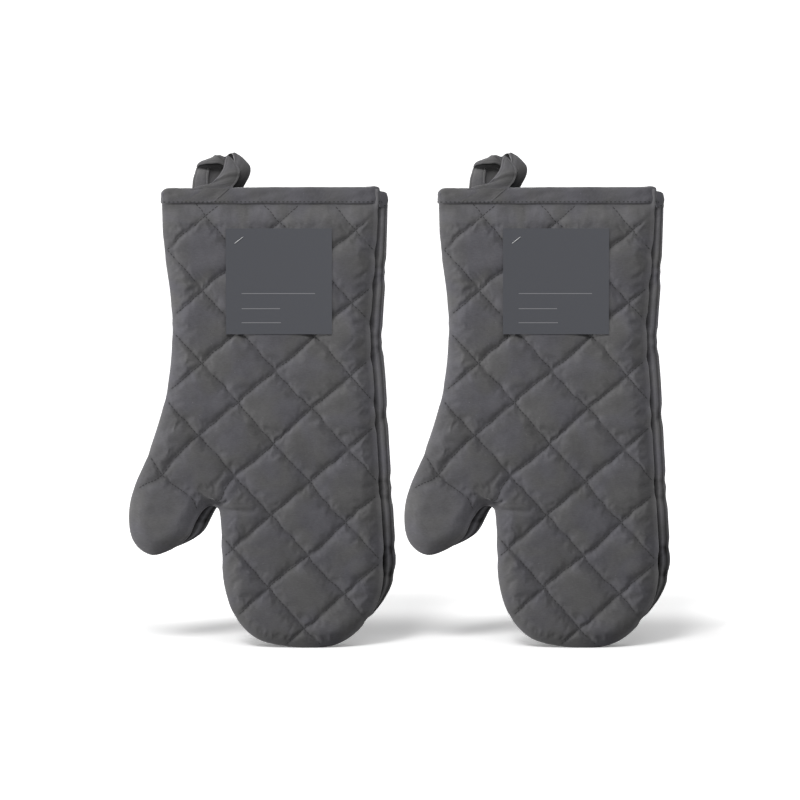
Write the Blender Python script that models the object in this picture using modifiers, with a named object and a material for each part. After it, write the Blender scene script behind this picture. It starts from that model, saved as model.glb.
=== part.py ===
"""A pair of quilted cotton oven mitts, standing side by side on their fingertips with the cuffs up.

X runs to the right, Y into the depth and Z up, and the fronts face -Y. The origin lies under the middle
of the pair, on the surface that the fingertips stand on. Each mitt is made in its own frame, whose Y = 0
is the plane of the seam between its front half and its back half, and then stands twice.
"""

import math

import bmesh
import bpy
from mathutils import Matrix, Vector
from mathutils.geometry import (
    delaunay_2d_cdt, interpolate_bezier, intersect_line_line_2d, intersect_point_line,
)

MM = 0.001

# The mitt's outline
PAIR_GAP = 5.9 * MM
MITT_LENGTH = 330 * MM
MITT_WIDTH = 182.5 * MM
FLOOR_CUT = 0.5 * MM
OVERRUN = 12 * MM

# The back half, which lies to the right of the front half and hangs lower at the cuff
BACK_SHIFT = 8.6 * MM
SHIFT_LOW = 8 * MM
SHIFT_HIGH = 58 * MM
CUFF_DROP = 5 * MM
DROP_LOW = 180 * MM

# Layers, from the hollow outwards
HOLLOW = 9 * MM
LINING = 0.8 * MM
BATTING = 5 * MM
COVER = 1.2 * MM
GAP = 0.3 * MM
SEAM_INSET = 1.5 * MM
SEAM_ALLOWANCE = 5 * MM
BATTING_EASE = 0.5 * MM

# The rolled edge and the quilting
EDGE_DEPTH = 7.5 * MM
ROLL = 10 * MM
SHOULDER = 2.2 * MM
PUFF = 3.4 * MM
PUFF_FADE = 13 * MM
RISING_SPACING = 38.4 * MM
RISING_PHASE = 29.5 * MM
RISING_ANGLE = math.radians(41)
FALLING_SPACING = 36.3 * MM
FALLING_PHASE = 32.5 * MM
FALLING_ANGLE = math.radians(-48)
SAMPLES_PER_CELL = 4

# The cuff and its binding
BINDING_HEIGHT = 11 * MM
BINDING = 1.2 * MM
CUFF_WALL = 2 * MM
CUFF_TAPER = 12 * MM
CUFF_PRESS = 0.4 * MM
CUFF_CORNER = 4 * MM
BINDING_ROUND = 0.8 * MM
ROUND_FROM = math.radians(60)
SMOOTH_UP_TO = math.radians(40)
CORNER_STEPS = 3

# The hanging loop
LOOP_INSET = 21.8 * MM
LOOP_SPAN = 40.7 * MM
LOOP_RISE = 24 * MM
LOOP_DEPTH = 12.5 * MM
LOOP_WIDTH = 11.6 * MM
LOOP_THICKNESS = 1.6 * MM
TAIL_THICKNESS = 1 * MM
END_REACH_SHARE = 0.9
END_THICKNESS_SHARE = 0.4

# The card and its pin
CARD_SIZE = 75.4 * MM
CARD_THICKNESS = 0.5 * MM
CARD_INSET = 46 * MM
CARD_DROP = 28 * MM
PIN_INSET = 9 * MM
PIN_RADIUS = 0.5 * MM
PIN_BAR = 8.2 * MM
PIN_TILT = math.radians(38)
FILAMENT_RADIUS = 0.4 * MM
HOLE_CLEARANCE = 0.3 * MM
HOLE_SIDES = 8

# Mesh fineness
FINE_STEP = 10 * MM
COARSE_STEP = 22 * MM
DENSE_STEPS = 16
MOST_TURN = math.radians(16)
CLOSEST_SHARE = 0.3
LONGEST_TANGLE = 8
MERGE = 0.001 * MM

# Outline of the front half, from the thumb side of the cuff round the thumb and the fingers and up to
# the other side of the cuff, as (share of the width, share of the length above the fingertip).
OUTLINE_SHARES = (
    (0.1329, 1.0), (0.1349, 0.9576), (0.1408, 0.8770), (0.1683, 0.7551), (0.1695, 0.6419),
    (0.1408, 0.5375), (0.0739, 0.4199), (0.0149, 0.3415), (0.0, 0.2827), (0.0189, 0.2327),
    (0.0818, 0.2044), (0.1526, 0.2120), (0.2312, 0.2414), (0.2666, 0.2806), (0.3020, 0.3067),
    (0.3335, 0.3110), (0.3551, 0.3002), (0.3626, 0.2218), (0.3728, 0.1391), (0.4160, 0.0684),
    (0.4986, 0.0215), (0.6323, 0.0024), (0.7424, 0.0), (0.8447, 0.0161), (0.9312, 0.0586),
    (0.9843, 0.1130), (1.0, 0.1826), (0.9921, 0.2806), (0.9744, 0.4395), (0.9618, 0.5701),
    (0.9481, 0.6898), (0.9646, 0.8248), (0.9784, 0.9576), (0.9784, 1.0),
)

# Middle line of the loop: shares of its span, its depth and its rise, the tilt of the strip's width as
# a share of a quarter turn, and its half width as a share of the strip's full width.
LOOP_SHARES = (
    (0.47, 0.0, 0.0, 0.0, 0.65),
    (0.54, -0.02, 0.164, 0.2, 0.56),
    (0.63, -0.02, 0.358, 0.39, 0.51),
    (0.735, 0.0, 0.537, 0.56, 0.5),
    (0.85, 0.12, 0.627, 0.78, 0.5),
    (0.935, 0.36, 0.627, 0.94, 0.5),
    (0.965, 0.6, 0.618, 1.0, 0.5),
    (0.92, 0.84, 0.627, 1.0, 0.5),
    (0.805, 0.98, 0.657, 1.0, 0.5),
    (0.63, 1.0, 0.672, 1.0, 0.5),
    (0.45, 0.96, 0.642, 0.97, 0.5),
    (0.295, 0.84, 0.567, 0.81, 0.49),
    (0.195, 0.64, 0.433, 0.5, 0.475),
    (0.15, 0.36, 0.254, 0.2, 0.47),
    (0.135, 0.1, 0.104, 0.0, 0.47),
    (0.13, 0.0, 0.0, 0.0, 0.47),
)

# Corners of the loop's sewn-down tail on the front of the binding: shares of the span and of the
# binding's height, from its top.
TAIL_SHARES = ((0.27, 0.0), (0.66, 0.0), (0.37, 0.93), (0.05, 0.93))

COTTON = (0.102, 0.102, 0.106)
LINING_COTTON = (0.13, 0.13, 0.135)
WADDING = (0.62, 0.60, 0.56)
BOARD = (0.075, 0.078, 0.088)
NYLON = (0.8, 0.8, 0.8)

# Derived places
HALF_WIDTH = (MITT_WIDTH + BACK_SHIFT) / 2
CUFF_Z = MITT_LENGTH - FLOOR_CUT - BINDING - GAP
PRESS_Z = CUFF_Z - BINDING_HEIGHT + BINDING
LINING_Y = HOLLOW / 2
BATTING_Y = LINING_Y + LINING + GAP
COVER_Y = BATTING_Y + BATTING + GAP
CHANNEL_Y = COVER_Y + COVER
CROWN_Y = CHANNEL_Y + PUFF
CUFF_Y = BATTING_Y + CUFF_WALL
BATTING_TOP = PRESS_Z - CUFF_TAPER
SEAM_Y = GAP / 2
BINDING_FACE_Y = CUFF_Y + GAP + BINDING
CARD_Y = CROWN_Y + GAP
LOOP_AXIS_Z = CUFF_Z + GAP + BINDING + GAP + LOOP_THICKNESS / 2
LOOP_AXIS_Y = -(CUFF_Y + GAP)


def clear_scene():
    for obj in list(bpy.data.objects):
        bpy.data.objects.remove(obj, do_unlink=True)


def collection(name):
    made = bpy.data.collections.new(name)
    bpy.context.scene.collection.children.link(made)
    return made


def material(name, colour, roughness):
    made = bpy.data.materials.new(name)
    made.use_nodes = True
    shader = made.node_tree.nodes["Principled BSDF"]
    shader.inputs["Base Color"].default_value = (*colour, 1)
    shader.inputs["Roughness"].default_value = roughness
    shader.inputs["Metallic"].default_value = 0
    made.diffuse_color = (*colour, 1)
    return made


def smoothstep(share):
    share = min(1, max(0, share))
    return share * share * (3 - 2 * share)


# Plane outlines

def smooth_line(points, closed=False):
    """A dense line through the points, each stretch a Bezier whose handles follow the neighbours."""
    count = len(points)
    dense = []
    for i in range(count if closed else count - 1):
        before = points[i - 1] if closed or i else points[0]
        start = points[i]
        end = points[(i + 1) % count]
        after = points[(i + 2) % count] if closed or i + 2 < count else end
        third = (end - start).length / 3
        handle_out = start + (end - before).normalized() * third
        handle_in = end - (after - start).normalized() * third
        dense += interpolate_bezier(start, handle_out, handle_in, end, DENSE_STEPS)[:-1]
    if not closed:
        dense.append(points[-1])
    return [Vector(point[:2]) for point in dense]


def thinned(dense, step):
    """The points of a dense line that lie a step apart, or closer where it turns."""
    kept = [dense[0]]
    travelled = turned = 0
    for before, here, after in zip(dense, dense[1:], dense[2:]):
        travelled += (here - before).length
        turned += abs((here - before).angle(after - here, 0))
        if travelled >= step or (turned >= MOST_TURN and travelled >= step * CLOSEST_SHARE):
            kept.append(here)
            travelled = turned = 0
    return kept + [dense[-1]]


def outward_normals(points, closed=False):
    """The outward direction at each point, longer at a corner, so that offset edges stay parallel."""
    found = []
    for i, point in enumerate(points):
        edges = []
        if i or closed:
            edges.append((point - points[i - 1]).normalized())
        if i + 1 < len(points) or closed:
            edges.append((points[(i + 1) % len(points)] - point).normalized())
        turned = [Vector((edge.y, -edge.x)) for edge in edges]
        total = sum(turned, Vector((0, 0))).normalized()
        found.append(total / total.dot(turned[0]))
    return found


def offset(points, distance, closed=False):
    return [
        point + normal * distance
        for point, normal in zip(points, outward_normals(points, closed))
    ]


def untangled(line):
    """The line with each small loop, where it crosses itself at a tight bend, drawn together into one point."""
    line = list(line)
    for i in range(len(line) - 1):
        for j in range(min(i + LONGEST_TANGLE, len(line) - 2), i + 1, -1):
            meeting = intersect_line_line_2d(line[i], line[i + 1], line[j], line[j + 1])
            if meeting:
                line[i + 1:j + 1] = [meeting] * (j - i)
                break
    return line


def distance_to(point, line):
    nearest = math.inf
    for start, end in zip(line, line[1:]):
        foot, share = intersect_point_line(point, start, end)
        foot = Vector(foot[:2]) if 0 < share < 1 else (start if share <= 0 else end)
        nearest = min(nearest, (point - foot).length)
    return nearest


def inside(point, line):
    """Whether the point lies within the line, closed from its last point to its first."""
    crossings = 0
    for start, end in zip(line, line[1:] + line[:1]):
        if (start.y > point.y) == (end.y > point.y):
            continue
        share = (point.y - start.y) / (end.y - start.y)
        crossings += start.x + share * (end.x - start.x) > point.x
    return crossings % 2 == 1


def mitt_line():
    """The front half's outline as a dense line in X and Z, run on upwards past the cuff."""
    points = [
        Vector((across * MITT_WIDTH - HALF_WIDTH, up * MITT_LENGTH - FLOOR_CUT))
        for across, up in OUTLINE_SHARES
    ]
    first = Vector((points[0].x, points[0].y + OVERRUN))
    last = Vector((points[-1].x, points[-1].y + OVERRUN))
    return smooth_line([first, *points, last])


def shift_at(height):
    """How far the back half lies to the right of the front half at this height."""
    return BACK_SHIFT * smoothstep((height - SHIFT_LOW) / (SHIFT_HIGH - SHIFT_LOW))


def seam_line(line):
    """The seam, just inside both halves: at the right it keeps to the front half, at the left to the back."""
    seam = []
    for point, normal in zip(line, outward_normals(line)):
        share = (1 - normal.normalized().x) / 2
        sideways = Vector((shift_at(point.y) * share, 0))
        seam.append(point + sideways - normal.normalized() * SEAM_INSET)
    return seam


MITT_LINE = mitt_line()
SEAM_LINE = seam_line(MITT_LINE)
POCKET = offset(thinned(SEAM_LINE, COARSE_STEP), -SEAM_ALLOWANCE)
CUFF_LEFT = MITT_LINE[-1].x - (OUTLINE_SHARES[-1][0] - OUTLINE_SHARES[0][0]) * MITT_WIDTH
CUFF_RIGHT = MITT_LINE[-1].x


# Solids

def mesh_object(name, mesh_data, group, finish=None):
    mesh = bpy.data.meshes.new(name)
    mesh_data.normal_update()
    mesh_data.to_mesh(mesh)
    mesh_data.free()
    obj = bpy.data.objects.new(name, mesh)
    group.objects.link(obj)
    if finish:
        mesh.materials.append(finish)
    return obj


def prism(name, outline, low, high, group, finish=None, upright=False):
    """An outline in X and Z run along Y or, upright, an outline in X and Y run along Z."""
    data = bmesh.new()
    start = [(x, y, low) if upright else (x, low, y) for x, y in outline]
    face = data.faces.new([data.verts.new(point) for point in start])
    run = Vector((0, 0, high - low)) if upright else Vector((0, high - low, 0))
    far = bmesh.ops.extrude_face_region(data, geom=[face])["geom"]
    bmesh.ops.translate(data, vec=run, verts=[v for v in far if isinstance(v, bmesh.types.BMVert)])
    bmesh.ops.recalc_face_normals(data, faces=data.faces)
    return mesh_object(name, data, group, finish)


def block(name, low, high, group, finish=None):
    """A box between two corners."""
    data = bmesh.new()
    bmesh.ops.create_cube(data, size=1)
    size = Vector(high) - Vector(low)
    middle = (Vector(high) + Vector(low)) / 2
    bmesh.ops.scale(data, vec=size, verts=data.verts)
    bmesh.ops.translate(data, vec=middle, verts=data.verts)
    return mesh_object(name, data, group, finish)


def rod(name, start, end, radius, group, finish=None):
    """A round bar from one point to another."""
    start, end = Vector(start), Vector(end)
    data = bmesh.new()
    bmesh.ops.create_cone(
        data, cap_ends=True, segments=HOLE_SIDES, radius1=radius, radius2=radius,
        depth=(end - start).length,
    )
    turn = Vector((0, 0, 1)).rotation_difference(end - start).to_matrix().to_4x4()
    bmesh.ops.transform(data, matrix=Matrix.Translation((start + end) / 2) @ turn, verts=data.verts)
    return mesh_object(name, data, group, finish)


def boolean(obj, other, operation="DIFFERENCE"):
    modifier = obj.modifiers.new(operation.lower(), "BOOLEAN")
    modifier.operation = operation
    modifier.solver = "EXACT"
    modifier.object = other


def hide(cutter):
    cutter.hide_render = True
    cutter.display_type = "WIRE"


def applied(obj):
    """Makes the modifiers' result the object's own mesh, with round parts shaded smooth."""
    graph = bpy.context.evaluated_depsgraph_get()
    mesh = bpy.data.meshes.new_from_object(obj.evaluated_get(graph))
    obj.modifiers.clear()
    obj.data = mesh
    mesh.shade_smooth()
    mesh.set_sharp_from_angle(angle=SMOOTH_UP_TO)
    return obj


def hang_back_lower(obj):
    """Lowers the back half's cuff: it slopes down from the seam plane, and the slope fades out downwards."""
    data = bmesh.new()
    data.from_mesh(obj.data)
    cut = data.verts[:] + data.edges[:] + data.faces[:]
    if min(v.co.y for v in data.verts) < 0 < max(v.co.y for v in data.verts):
        bmesh.ops.bisect_plane(data, geom=cut, plane_co=(0, 0, 0), plane_no=(0, 1, 0), dist=MERGE)
    for vertex in data.verts:
        slope = min(1, max(0, vertex.co.y / BINDING_FACE_Y))
        vertex.co.z -= CUFF_DROP * slope * smoothstep((vertex.co.z - DROP_LOW) / (PRESS_Z - DROP_LOW))
    data.to_mesh(obj.data)
    data.free()
    return obj


# The quilted covers

def quilt_share(x, z):
    """0 on the stitched lines, and up to 1 in the middle of each diamond."""
    rising = (z * math.cos(RISING_ANGLE) - x * math.sin(RISING_ANGLE) - RISING_PHASE) / RISING_SPACING
    falling = (z * math.cos(FALLING_ANGLE) - x * math.sin(FALLING_ANGLE) - FALLING_PHASE) / FALLING_SPACING
    return math.sqrt(abs(math.sin(math.pi * rising) * math.sin(math.pi * falling)))


def cover_depth(point, inset):
    """How far the cover's outer face lies from the seam plane, at a distance in from the edge."""
    share = min(1, inset / ROLL)
    rolled = math.sqrt(1 - (1 - share) ** 2)
    puffed = PUFF * quilt_share(*point) * smoothstep(inset / PUFF_FADE)
    full = EDGE_DEPTH + (CHANNEL_Y - EDGE_DEPTH) * rolled + puffed
    pressed = min(full, CUFF_Y + CUFF_PRESS)
    return pressed + (full - pressed) * smoothstep((PRESS_Z - point.y) / CUFF_TAPER)


def lattice():
    """Points a quarter of a diamond apart, in rows along the quilting lines."""
    reach = math.ceil(2 * MITT_LENGTH / FALLING_SPACING) * SAMPLES_PER_CELL
    found = []
    across = Vector((-math.sin(RISING_ANGLE), math.cos(RISING_ANGLE)))
    along = Vector((-math.sin(FALLING_ANGLE), math.cos(FALLING_ANGLE)))
    for i in range(-reach, reach):
        for j in range(-reach, reach):
            first = RISING_PHASE + RISING_SPACING * i / SAMPLES_PER_CELL
            second = FALLING_PHASE + FALLING_SPACING * j / SAMPLES_PER_CELL
            cross = across.x * along.y - across.y * along.x
            x = (first * along.y - second * across.y) / cross
            z = (second * across.x - first * along.x) / cross
            found.append(Vector((x, z)))
    return found


def cover_blank(name, side, group, finish):
    """One half as a solid pad, from the seam plane to the quilted face. side is -1 in front, 1 behind."""
    fine = thinned(MITT_LINE, FINE_STEP)
    edge = [
        point + Vector((shift_at(point.y), 0)) if side > 0 else point.copy()
        for point in fine
    ]
    rings = [(seam_line(fine), None), (edge, 0), (offset(edge, -SHOULDER), SHOULDER)]
    rings.append((untangled(offset(edge, -ROLL)), ROLL))
    data = bmesh.new()
    loops = []
    for points, inset in rings:
        loop = []
        for i, point in enumerate(points):
            if i and point == points[i - 1]:
                loop.append(loop[-1])
                continue
            depth = SEAM_Y if inset is None else cover_depth(point, inset)
            loop.append(data.verts.new((point.x, side * depth, point.y)))
        loops.append(loop)
    for outer, inner in zip(loops, loops[1:]):
        for i, corner in enumerate(outer):
            corners = (corner, outer[i - 1], inner[i - 1], inner[i])
            data.faces.new(dict.fromkeys(corners))
    data.faces.new(loops[0])
    fill_quilting(data, side, edge, rings[-1][0], loops[-1])
    bmesh.ops.recalc_face_normals(data, faces=data.faces)
    return mesh_object(name, data, group, finish)


def fill_quilting(data, side, edge, border, loop):
    """Triangles between the lattice points inside the last ring."""
    clear = FALLING_SPACING / SAMPLES_PER_CELL / 2
    inner = [
        point
        for point in lattice()
        if inside(point, border) and distance_to(point, border) > clear
    ]
    points, _, faces, sources, _, _ = delaunay_2d_cdt(
        border + inner, [], [list(range(len(border)))], 1, MERGE
    )
    corners = []
    for point, source in zip(points, sources):
        if source and source[0] < len(border):
            corners.append(loop[source[0]])
            continue
        depth = cover_depth(point, distance_to(point, edge))
        corners.append(data.verts.new((point.x, side * depth, point.y)))
    for face in faces:
        data.faces.new([corners[i] for i in face])


def pocket_cutter(name, line, depth, top, side, group):
    """The room inside a cover, up to a height, as deep as the layers that lie in it."""
    if top < CUFF_Z:
        line = [Vector((point.x, min(point.y, top))) for point in line if point.y < top + COARSE_STEP]
    cutter = prism(name, line, -side * OVERRUN, side * depth, group)
    hide(cutter)
    return cutter


# The cuff

def arc(centre, radius, quarter):
    """Points on a quarter circle, where quarter 0 starts at +X and the others follow anticlockwise."""
    turns = [(quarter + i / CORNER_STEPS) * math.pi / 2 for i in range(CORNER_STEPS + 1)]
    return [Vector((centre[0] + radius * math.cos(t), centre[1] + radius * math.sin(t))) for t in turns]


def cuff_plan():
    """The pressed cuff from above: the back half stands out at the right and steps in at the left."""
    left = CUFF_LEFT + CUFF_PRESS
    right = CUFF_RIGHT - CUFF_PRESS
    near = CUFF_CORNER - CUFF_Y
    far = CUFF_Y - CUFF_CORNER
    step = BACK_SHIFT
    plan = arc((left + CUFF_CORNER, near), CUFF_CORNER, 2)
    plan += arc((right - CUFF_CORNER, near), CUFF_CORNER, 3)
    plan += [Vector((right + step / 6, near / 3)), Vector((right + step * 2 / 3, far / 6))]
    plan += arc((right + step - CUFF_CORNER, far), CUFF_CORNER, 0)
    plan += arc((left + step + CUFF_CORNER, far), CUFF_CORNER, 1)
    plan += [Vector((left + step * 5 / 6, far / 3)), Vector((left + step / 3, near / 6))]
    return plan


def mouth_plan(inset):
    """The mouth of the hollow from above, drawn in by an inset."""
    left = CUFF_LEFT + BACK_SHIFT + SEAM_INSET + SEAM_ALLOWANCE + inset
    right = CUFF_RIGHT - SEAM_INSET - SEAM_ALLOWANCE - inset
    half = HOLLOW / 2 - inset
    return [Vector(corner) for corner in ((left, -half), (right, -half), (right, half), (left, half))]


def cuff_press(group):
    """What the binding squeezes away from the covers: all that lies outside the cuff's plan."""
    reach = MITT_WIDTH + OVERRUN
    press = block("press", (-reach, -reach, PRESS_Z), (reach, reach, CUFF_Z + 2 * OVERRUN), group)
    core = prism("press_core", cuff_plan(), PRESS_Z - OVERRUN, CUFF_Z + 3 * OVERRUN, group, upright=True)
    boolean(press, core)
    hide(press)
    hide(core)
    return press


def cuff_binding(group, cutters, finish):
    """The bias strip folded over the edge of the cuff, with the loop's tail sewn down on its front."""
    plan = cuff_plan()
    low = MITT_LENGTH - FLOOR_CUT - BINDING_HEIGHT
    high = CUFF_Z + GAP + BINDING
    outer = offset(plan, GAP + BINDING, closed=True)
    binding = prism("cuff_binding", outer, low, high, group, finish, upright=True)
    bevel = binding.modifiers.new("rounded", "BEVEL")
    bevel.width = BINDING_ROUND
    bevel.segments = 2
    bevel.limit_method = "ANGLE"
    bevel.angle_limit = ROUND_FROM
    mouth = prism("binding_mouth", mouth_plan(GAP + BINDING), low - OVERRUN, high + OVERRUN, cutters,
                  upright=True)
    groove = prism("binding_groove", offset(plan, GAP, closed=True), low - OVERRUN, CUFF_Z + GAP,
                   cutters, upright=True)
    core = prism("groove_core", mouth_plan(GAP), low - 2 * OVERRUN, CUFF_Z + OVERRUN, cutters,
                 upright=True)
    boolean(groove, core)
    start = CUFF_LEFT + LOOP_INSET
    face = -BINDING_FACE_Y
    corners = [
        (start + along * LOOP_SPAN, high - BINDING_ROUND - down * (BINDING_HEIGHT - BINDING_ROUND))
        for along, down in TAIL_SHARES
    ]
    tail = prism("loop_tail", corners, face - TAIL_THICKNESS, face + BINDING / 2, cutters)
    boolean(binding, mouth)
    boolean(binding, groove)
    boolean(binding, tail, "UNION")
    for cutter in (mouth, groove, core, tail):
        hide(cutter)
    return binding


# The loop

def hanging_loop(group, finish):
    """One flat strip, lofted along its middle line, with both ends rounded on the joint's axis."""
    start = Vector((CUFF_LEFT + LOOP_INSET, LOOP_AXIS_Y, LOOP_AXIS_Z))
    half = LOOP_THICKNESS / 2
    places = []
    for along, deep, up, tilt, width in LOOP_SHARES:
        place = start + Vector((along * LOOP_SPAN, deep * LOOP_DEPTH, up * LOOP_RISE))
        angle = tilt * math.pi / 2
        spread = Vector((math.cos(angle), 0, -math.sin(angle))) * width * LOOP_WIDTH
        places.append((place, spread))
    below = Vector((0, 0, half * END_REACH_SHARE))
    sections = [(place, spread, 1) for place, spread in places]
    sections.insert(0, (places[0][0] - below, places[0][1], END_THICKNESS_SHARE))
    sections.append((places[-1][0] - below, places[-1][1], END_THICKNESS_SHARE))
    data = bmesh.new()
    loops = []
    for i, (place, spread, thickness) in enumerate(sections):
        before = sections[max(0, i - 1)][0]
        after = sections[min(len(sections) - 1, i + 1)][0]
        across = (after - before).cross(spread).normalized() * half * thickness
        corners = (spread + across, across - spread, -spread - across, spread - across)
        loops.append([data.verts.new(place + corner) for corner in corners])
    for first, second in zip(loops, loops[1:]):
        for i in range(len(first)):
            data.faces.new((first[i - 1], first[i], second[i], second[i - 1]))
    data.faces.new(loops[0])
    data.faces.new(loops[-1])
    bmesh.ops.recalc_face_normals(data, faces=data.faces)
    return mesh_object("hanging_loop", data, group, finish)


# The card and its pin

def card_corner():
    """The card's upper left corner, in X and Z."""
    return Vector((CUFF_LEFT + CARD_INSET, MITT_LENGTH - FLOOR_CUT - CARD_DROP))


def pin_place():
    return card_corner() + Vector((PIN_INSET, -PIN_INSET))


def header_card(group, cutters, finish):
    corner = card_corner()
    low = (corner.x, -CARD_Y - CARD_THICKNESS, corner.y - CARD_SIZE)
    card = block("header_card", low, (corner.x + CARD_SIZE, -CARD_Y, corner.y), group, finish)
    boolean(card, pin_hole(cutters))
    return card


def pin_hole(cutters):
    place = pin_place()
    radius = FILAMENT_RADIUS + HOLE_CLEARANCE
    start = (place.x, -CARD_Y - OVERRUN, place.y)
    hole = rod("pin_hole", start, (place.x, OVERRUN - LINING_Y, place.y), radius, cutters)
    hide(hole)
    return hole


def tag_pin(group, cutters, finish):
    """A bar on the card, a bar inside the hollow, and the filament that joins them."""
    place = pin_place()
    front = -(CARD_Y + CARD_THICKNESS + GAP + PIN_RADIUS)
    back = -(LINING_Y - GAP - PIN_RADIUS)
    reach = Vector((math.cos(PIN_TILT), 0, math.sin(PIN_TILT))) * PIN_BAR / 2
    near = Vector((place.x, front, place.y))
    far = Vector((place.x, back, place.y))
    pin = rod("tag_pin", near - reach, near + reach, PIN_RADIUS, group, finish)
    filament = rod("filament", near, far, FILAMENT_RADIUS, cutters)
    bar = rod("inner_bar", far - reach, far + reach, PIN_RADIUS, cutters)
    for piece in (filament, bar):
        boolean(pin, piece, "UNION")
        hide(piece)
    return pin


# One mitt

def half_of_mitt(word, side, group, cutters, finishes, press):
    """The cover, batting and lining of one half."""
    shallow = pocket_cutter(word + "_pocket", POCKET, BATTING_Y, CUFF_Z + OVERRUN, side, cutters)
    padding_line = offset(POCKET, -BATTING_EASE)
    deep = pocket_cutter(word + "_padding_room", padding_line, COVER_Y, BATTING_TOP, side, cutters)
    reach = MITT_WIDTH
    sky = block(word + "_above", (-reach, -reach, CUFF_Z), (reach, reach, 2 * CUFF_Z), cutters)
    ground = block(word + "_below", (-reach, -reach, -reach), (reach, reach, 0), cutters)
    cover = cover_blank(word + "_cover", side, group, finishes["cotton"])
    lining_line = offset(POCKET, -GAP)
    lining = prism(word + "_lining", lining_line, side * LINING_Y, side * (LINING_Y + LINING), group,
                   finishes["lining"])
    batting_line = [
        Vector((point.x, min(point.y, BATTING_TOP - GAP)))
        for point in offset(padding_line, -GAP)
        if point.y < BATTING_TOP + COARSE_STEP
    ]
    batting = prism(word + "_batting", batting_line, side * BATTING_Y, side * (BATTING_Y + BATTING), group,
                    finishes["wadding"])
    for cutter in (shallow, deep, sky, ground, press):
        boolean(cover, cutter)
    boolean(lining, sky)
    for cutter in (sky, ground):
        hide(cutter)
    if side < 0:
        hole = pin_hole(cutters)
        for piece in (cover, lining, batting):
            boolean(piece, hole)
    return [cover, batting, lining]


def one_mitt(group, cutters):
    """All pieces of one mitt, in its own frame."""
    finishes = {
        "cotton": material("charcoal_cotton", COTTON, 0.92),
        "lining": material("lining_cotton", LINING_COTTON, 0.92),
        "wadding": material("cotton_wadding", WADDING, 0.95),
        "board": material("dark_board", BOARD, 0.55),
        "nylon": material("white_nylon", NYLON, 0.4),
    }
    press = cuff_press(cutters)
    fixed = half_of_mitt("front", -1, group, cutters, finishes, press)
    fixed += half_of_mitt("back", 1, group, cutters, finishes, press)
    fixed.append(cuff_binding(group, cutters, finishes["cotton"]))
    for piece in fixed:
        hang_back_lower(applied(piece))
    pin = applied(tag_pin(group, cutters, finishes["nylon"]))
    card = move_origin(applied(header_card(group, cutters, finishes["board"])), card_pivot())
    loop = move_origin(applied(hanging_loop(group, finishes["cotton"])), loop_pivot())
    return [*fixed, pin, card, loop]


def loop_pivot():
    return Vector((CUFF_LEFT + LOOP_INSET + LOOP_SPAN / 2, LOOP_AXIS_Y, LOOP_AXIS_Z))


def card_pivot():
    place = pin_place()
    return Vector((place.x, -CARD_Y - CARD_THICKNESS / 2, place.y))


def move_origin(obj, pivot):
    obj.data.transform(Matrix.Translation(-pivot))
    obj.location = pivot
    return obj


def depth_middle(pieces):
    """The middle of the pieces' extent in Y."""
    bpy.context.view_layer.update()
    depths = [(piece.matrix_world @ v.co).y for piece in pieces for v in piece.data.vertices]
    return (min(depths) + max(depths)) / 2


def pair_of_mitts():
    """Stands the mitt twice, each copy under its own empty, centred in width and depth."""
    group = collection("pair_of_oven_mitts")
    cutters = collection("cutters")
    pieces = one_mitt(group, cutters)
    middle = depth_middle(pieces)
    for word, side in (("left", -1), ("right", 1)):
        stand = bpy.data.objects.new(word + "_mitt", None)
        stand.location = (side * (HALF_WIDTH + PAIR_GAP / 2), -middle, 0)
        group.objects.link(stand)
        for piece in pieces:
            copy = piece.copy()
            copy.name = word + "_" + piece.name
            copy.parent = stand
            group.objects.link(copy)
    for piece in pieces:
        bpy.data.objects.remove(piece, do_unlink=True)


clear_scene()
pair_of_mitts()
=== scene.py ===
"""The looks of a pair of quilted cotton oven mitts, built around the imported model.

Both mitts are the same, so each piece is made once, in one mitt's own frame, and stands twice. That frame
has X to the right, Y into the depth and Z up, with Y = 0 in the seam between the front and the back half.
"""

import math

import bmesh
import bpy
import numpy as np
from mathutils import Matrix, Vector
from mathutils.bvhtree import BVHTree
from mathutils.geometry import delaunay_2d_cdt


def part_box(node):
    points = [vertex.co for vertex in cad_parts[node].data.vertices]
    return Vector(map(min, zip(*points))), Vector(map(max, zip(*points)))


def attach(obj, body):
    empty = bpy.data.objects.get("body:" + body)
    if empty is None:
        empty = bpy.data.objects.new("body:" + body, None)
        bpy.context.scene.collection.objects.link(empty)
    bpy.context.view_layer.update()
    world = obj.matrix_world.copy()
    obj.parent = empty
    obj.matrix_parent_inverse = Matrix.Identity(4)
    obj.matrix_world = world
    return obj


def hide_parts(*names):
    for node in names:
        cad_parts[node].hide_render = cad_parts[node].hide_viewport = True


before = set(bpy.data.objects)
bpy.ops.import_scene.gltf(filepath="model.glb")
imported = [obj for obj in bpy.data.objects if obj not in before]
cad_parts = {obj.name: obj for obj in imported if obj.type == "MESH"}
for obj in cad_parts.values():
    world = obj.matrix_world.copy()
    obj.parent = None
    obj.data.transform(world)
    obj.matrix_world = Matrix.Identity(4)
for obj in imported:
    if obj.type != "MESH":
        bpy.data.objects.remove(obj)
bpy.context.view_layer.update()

MM = 0.001
SIDES = ("left", "right")

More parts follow.
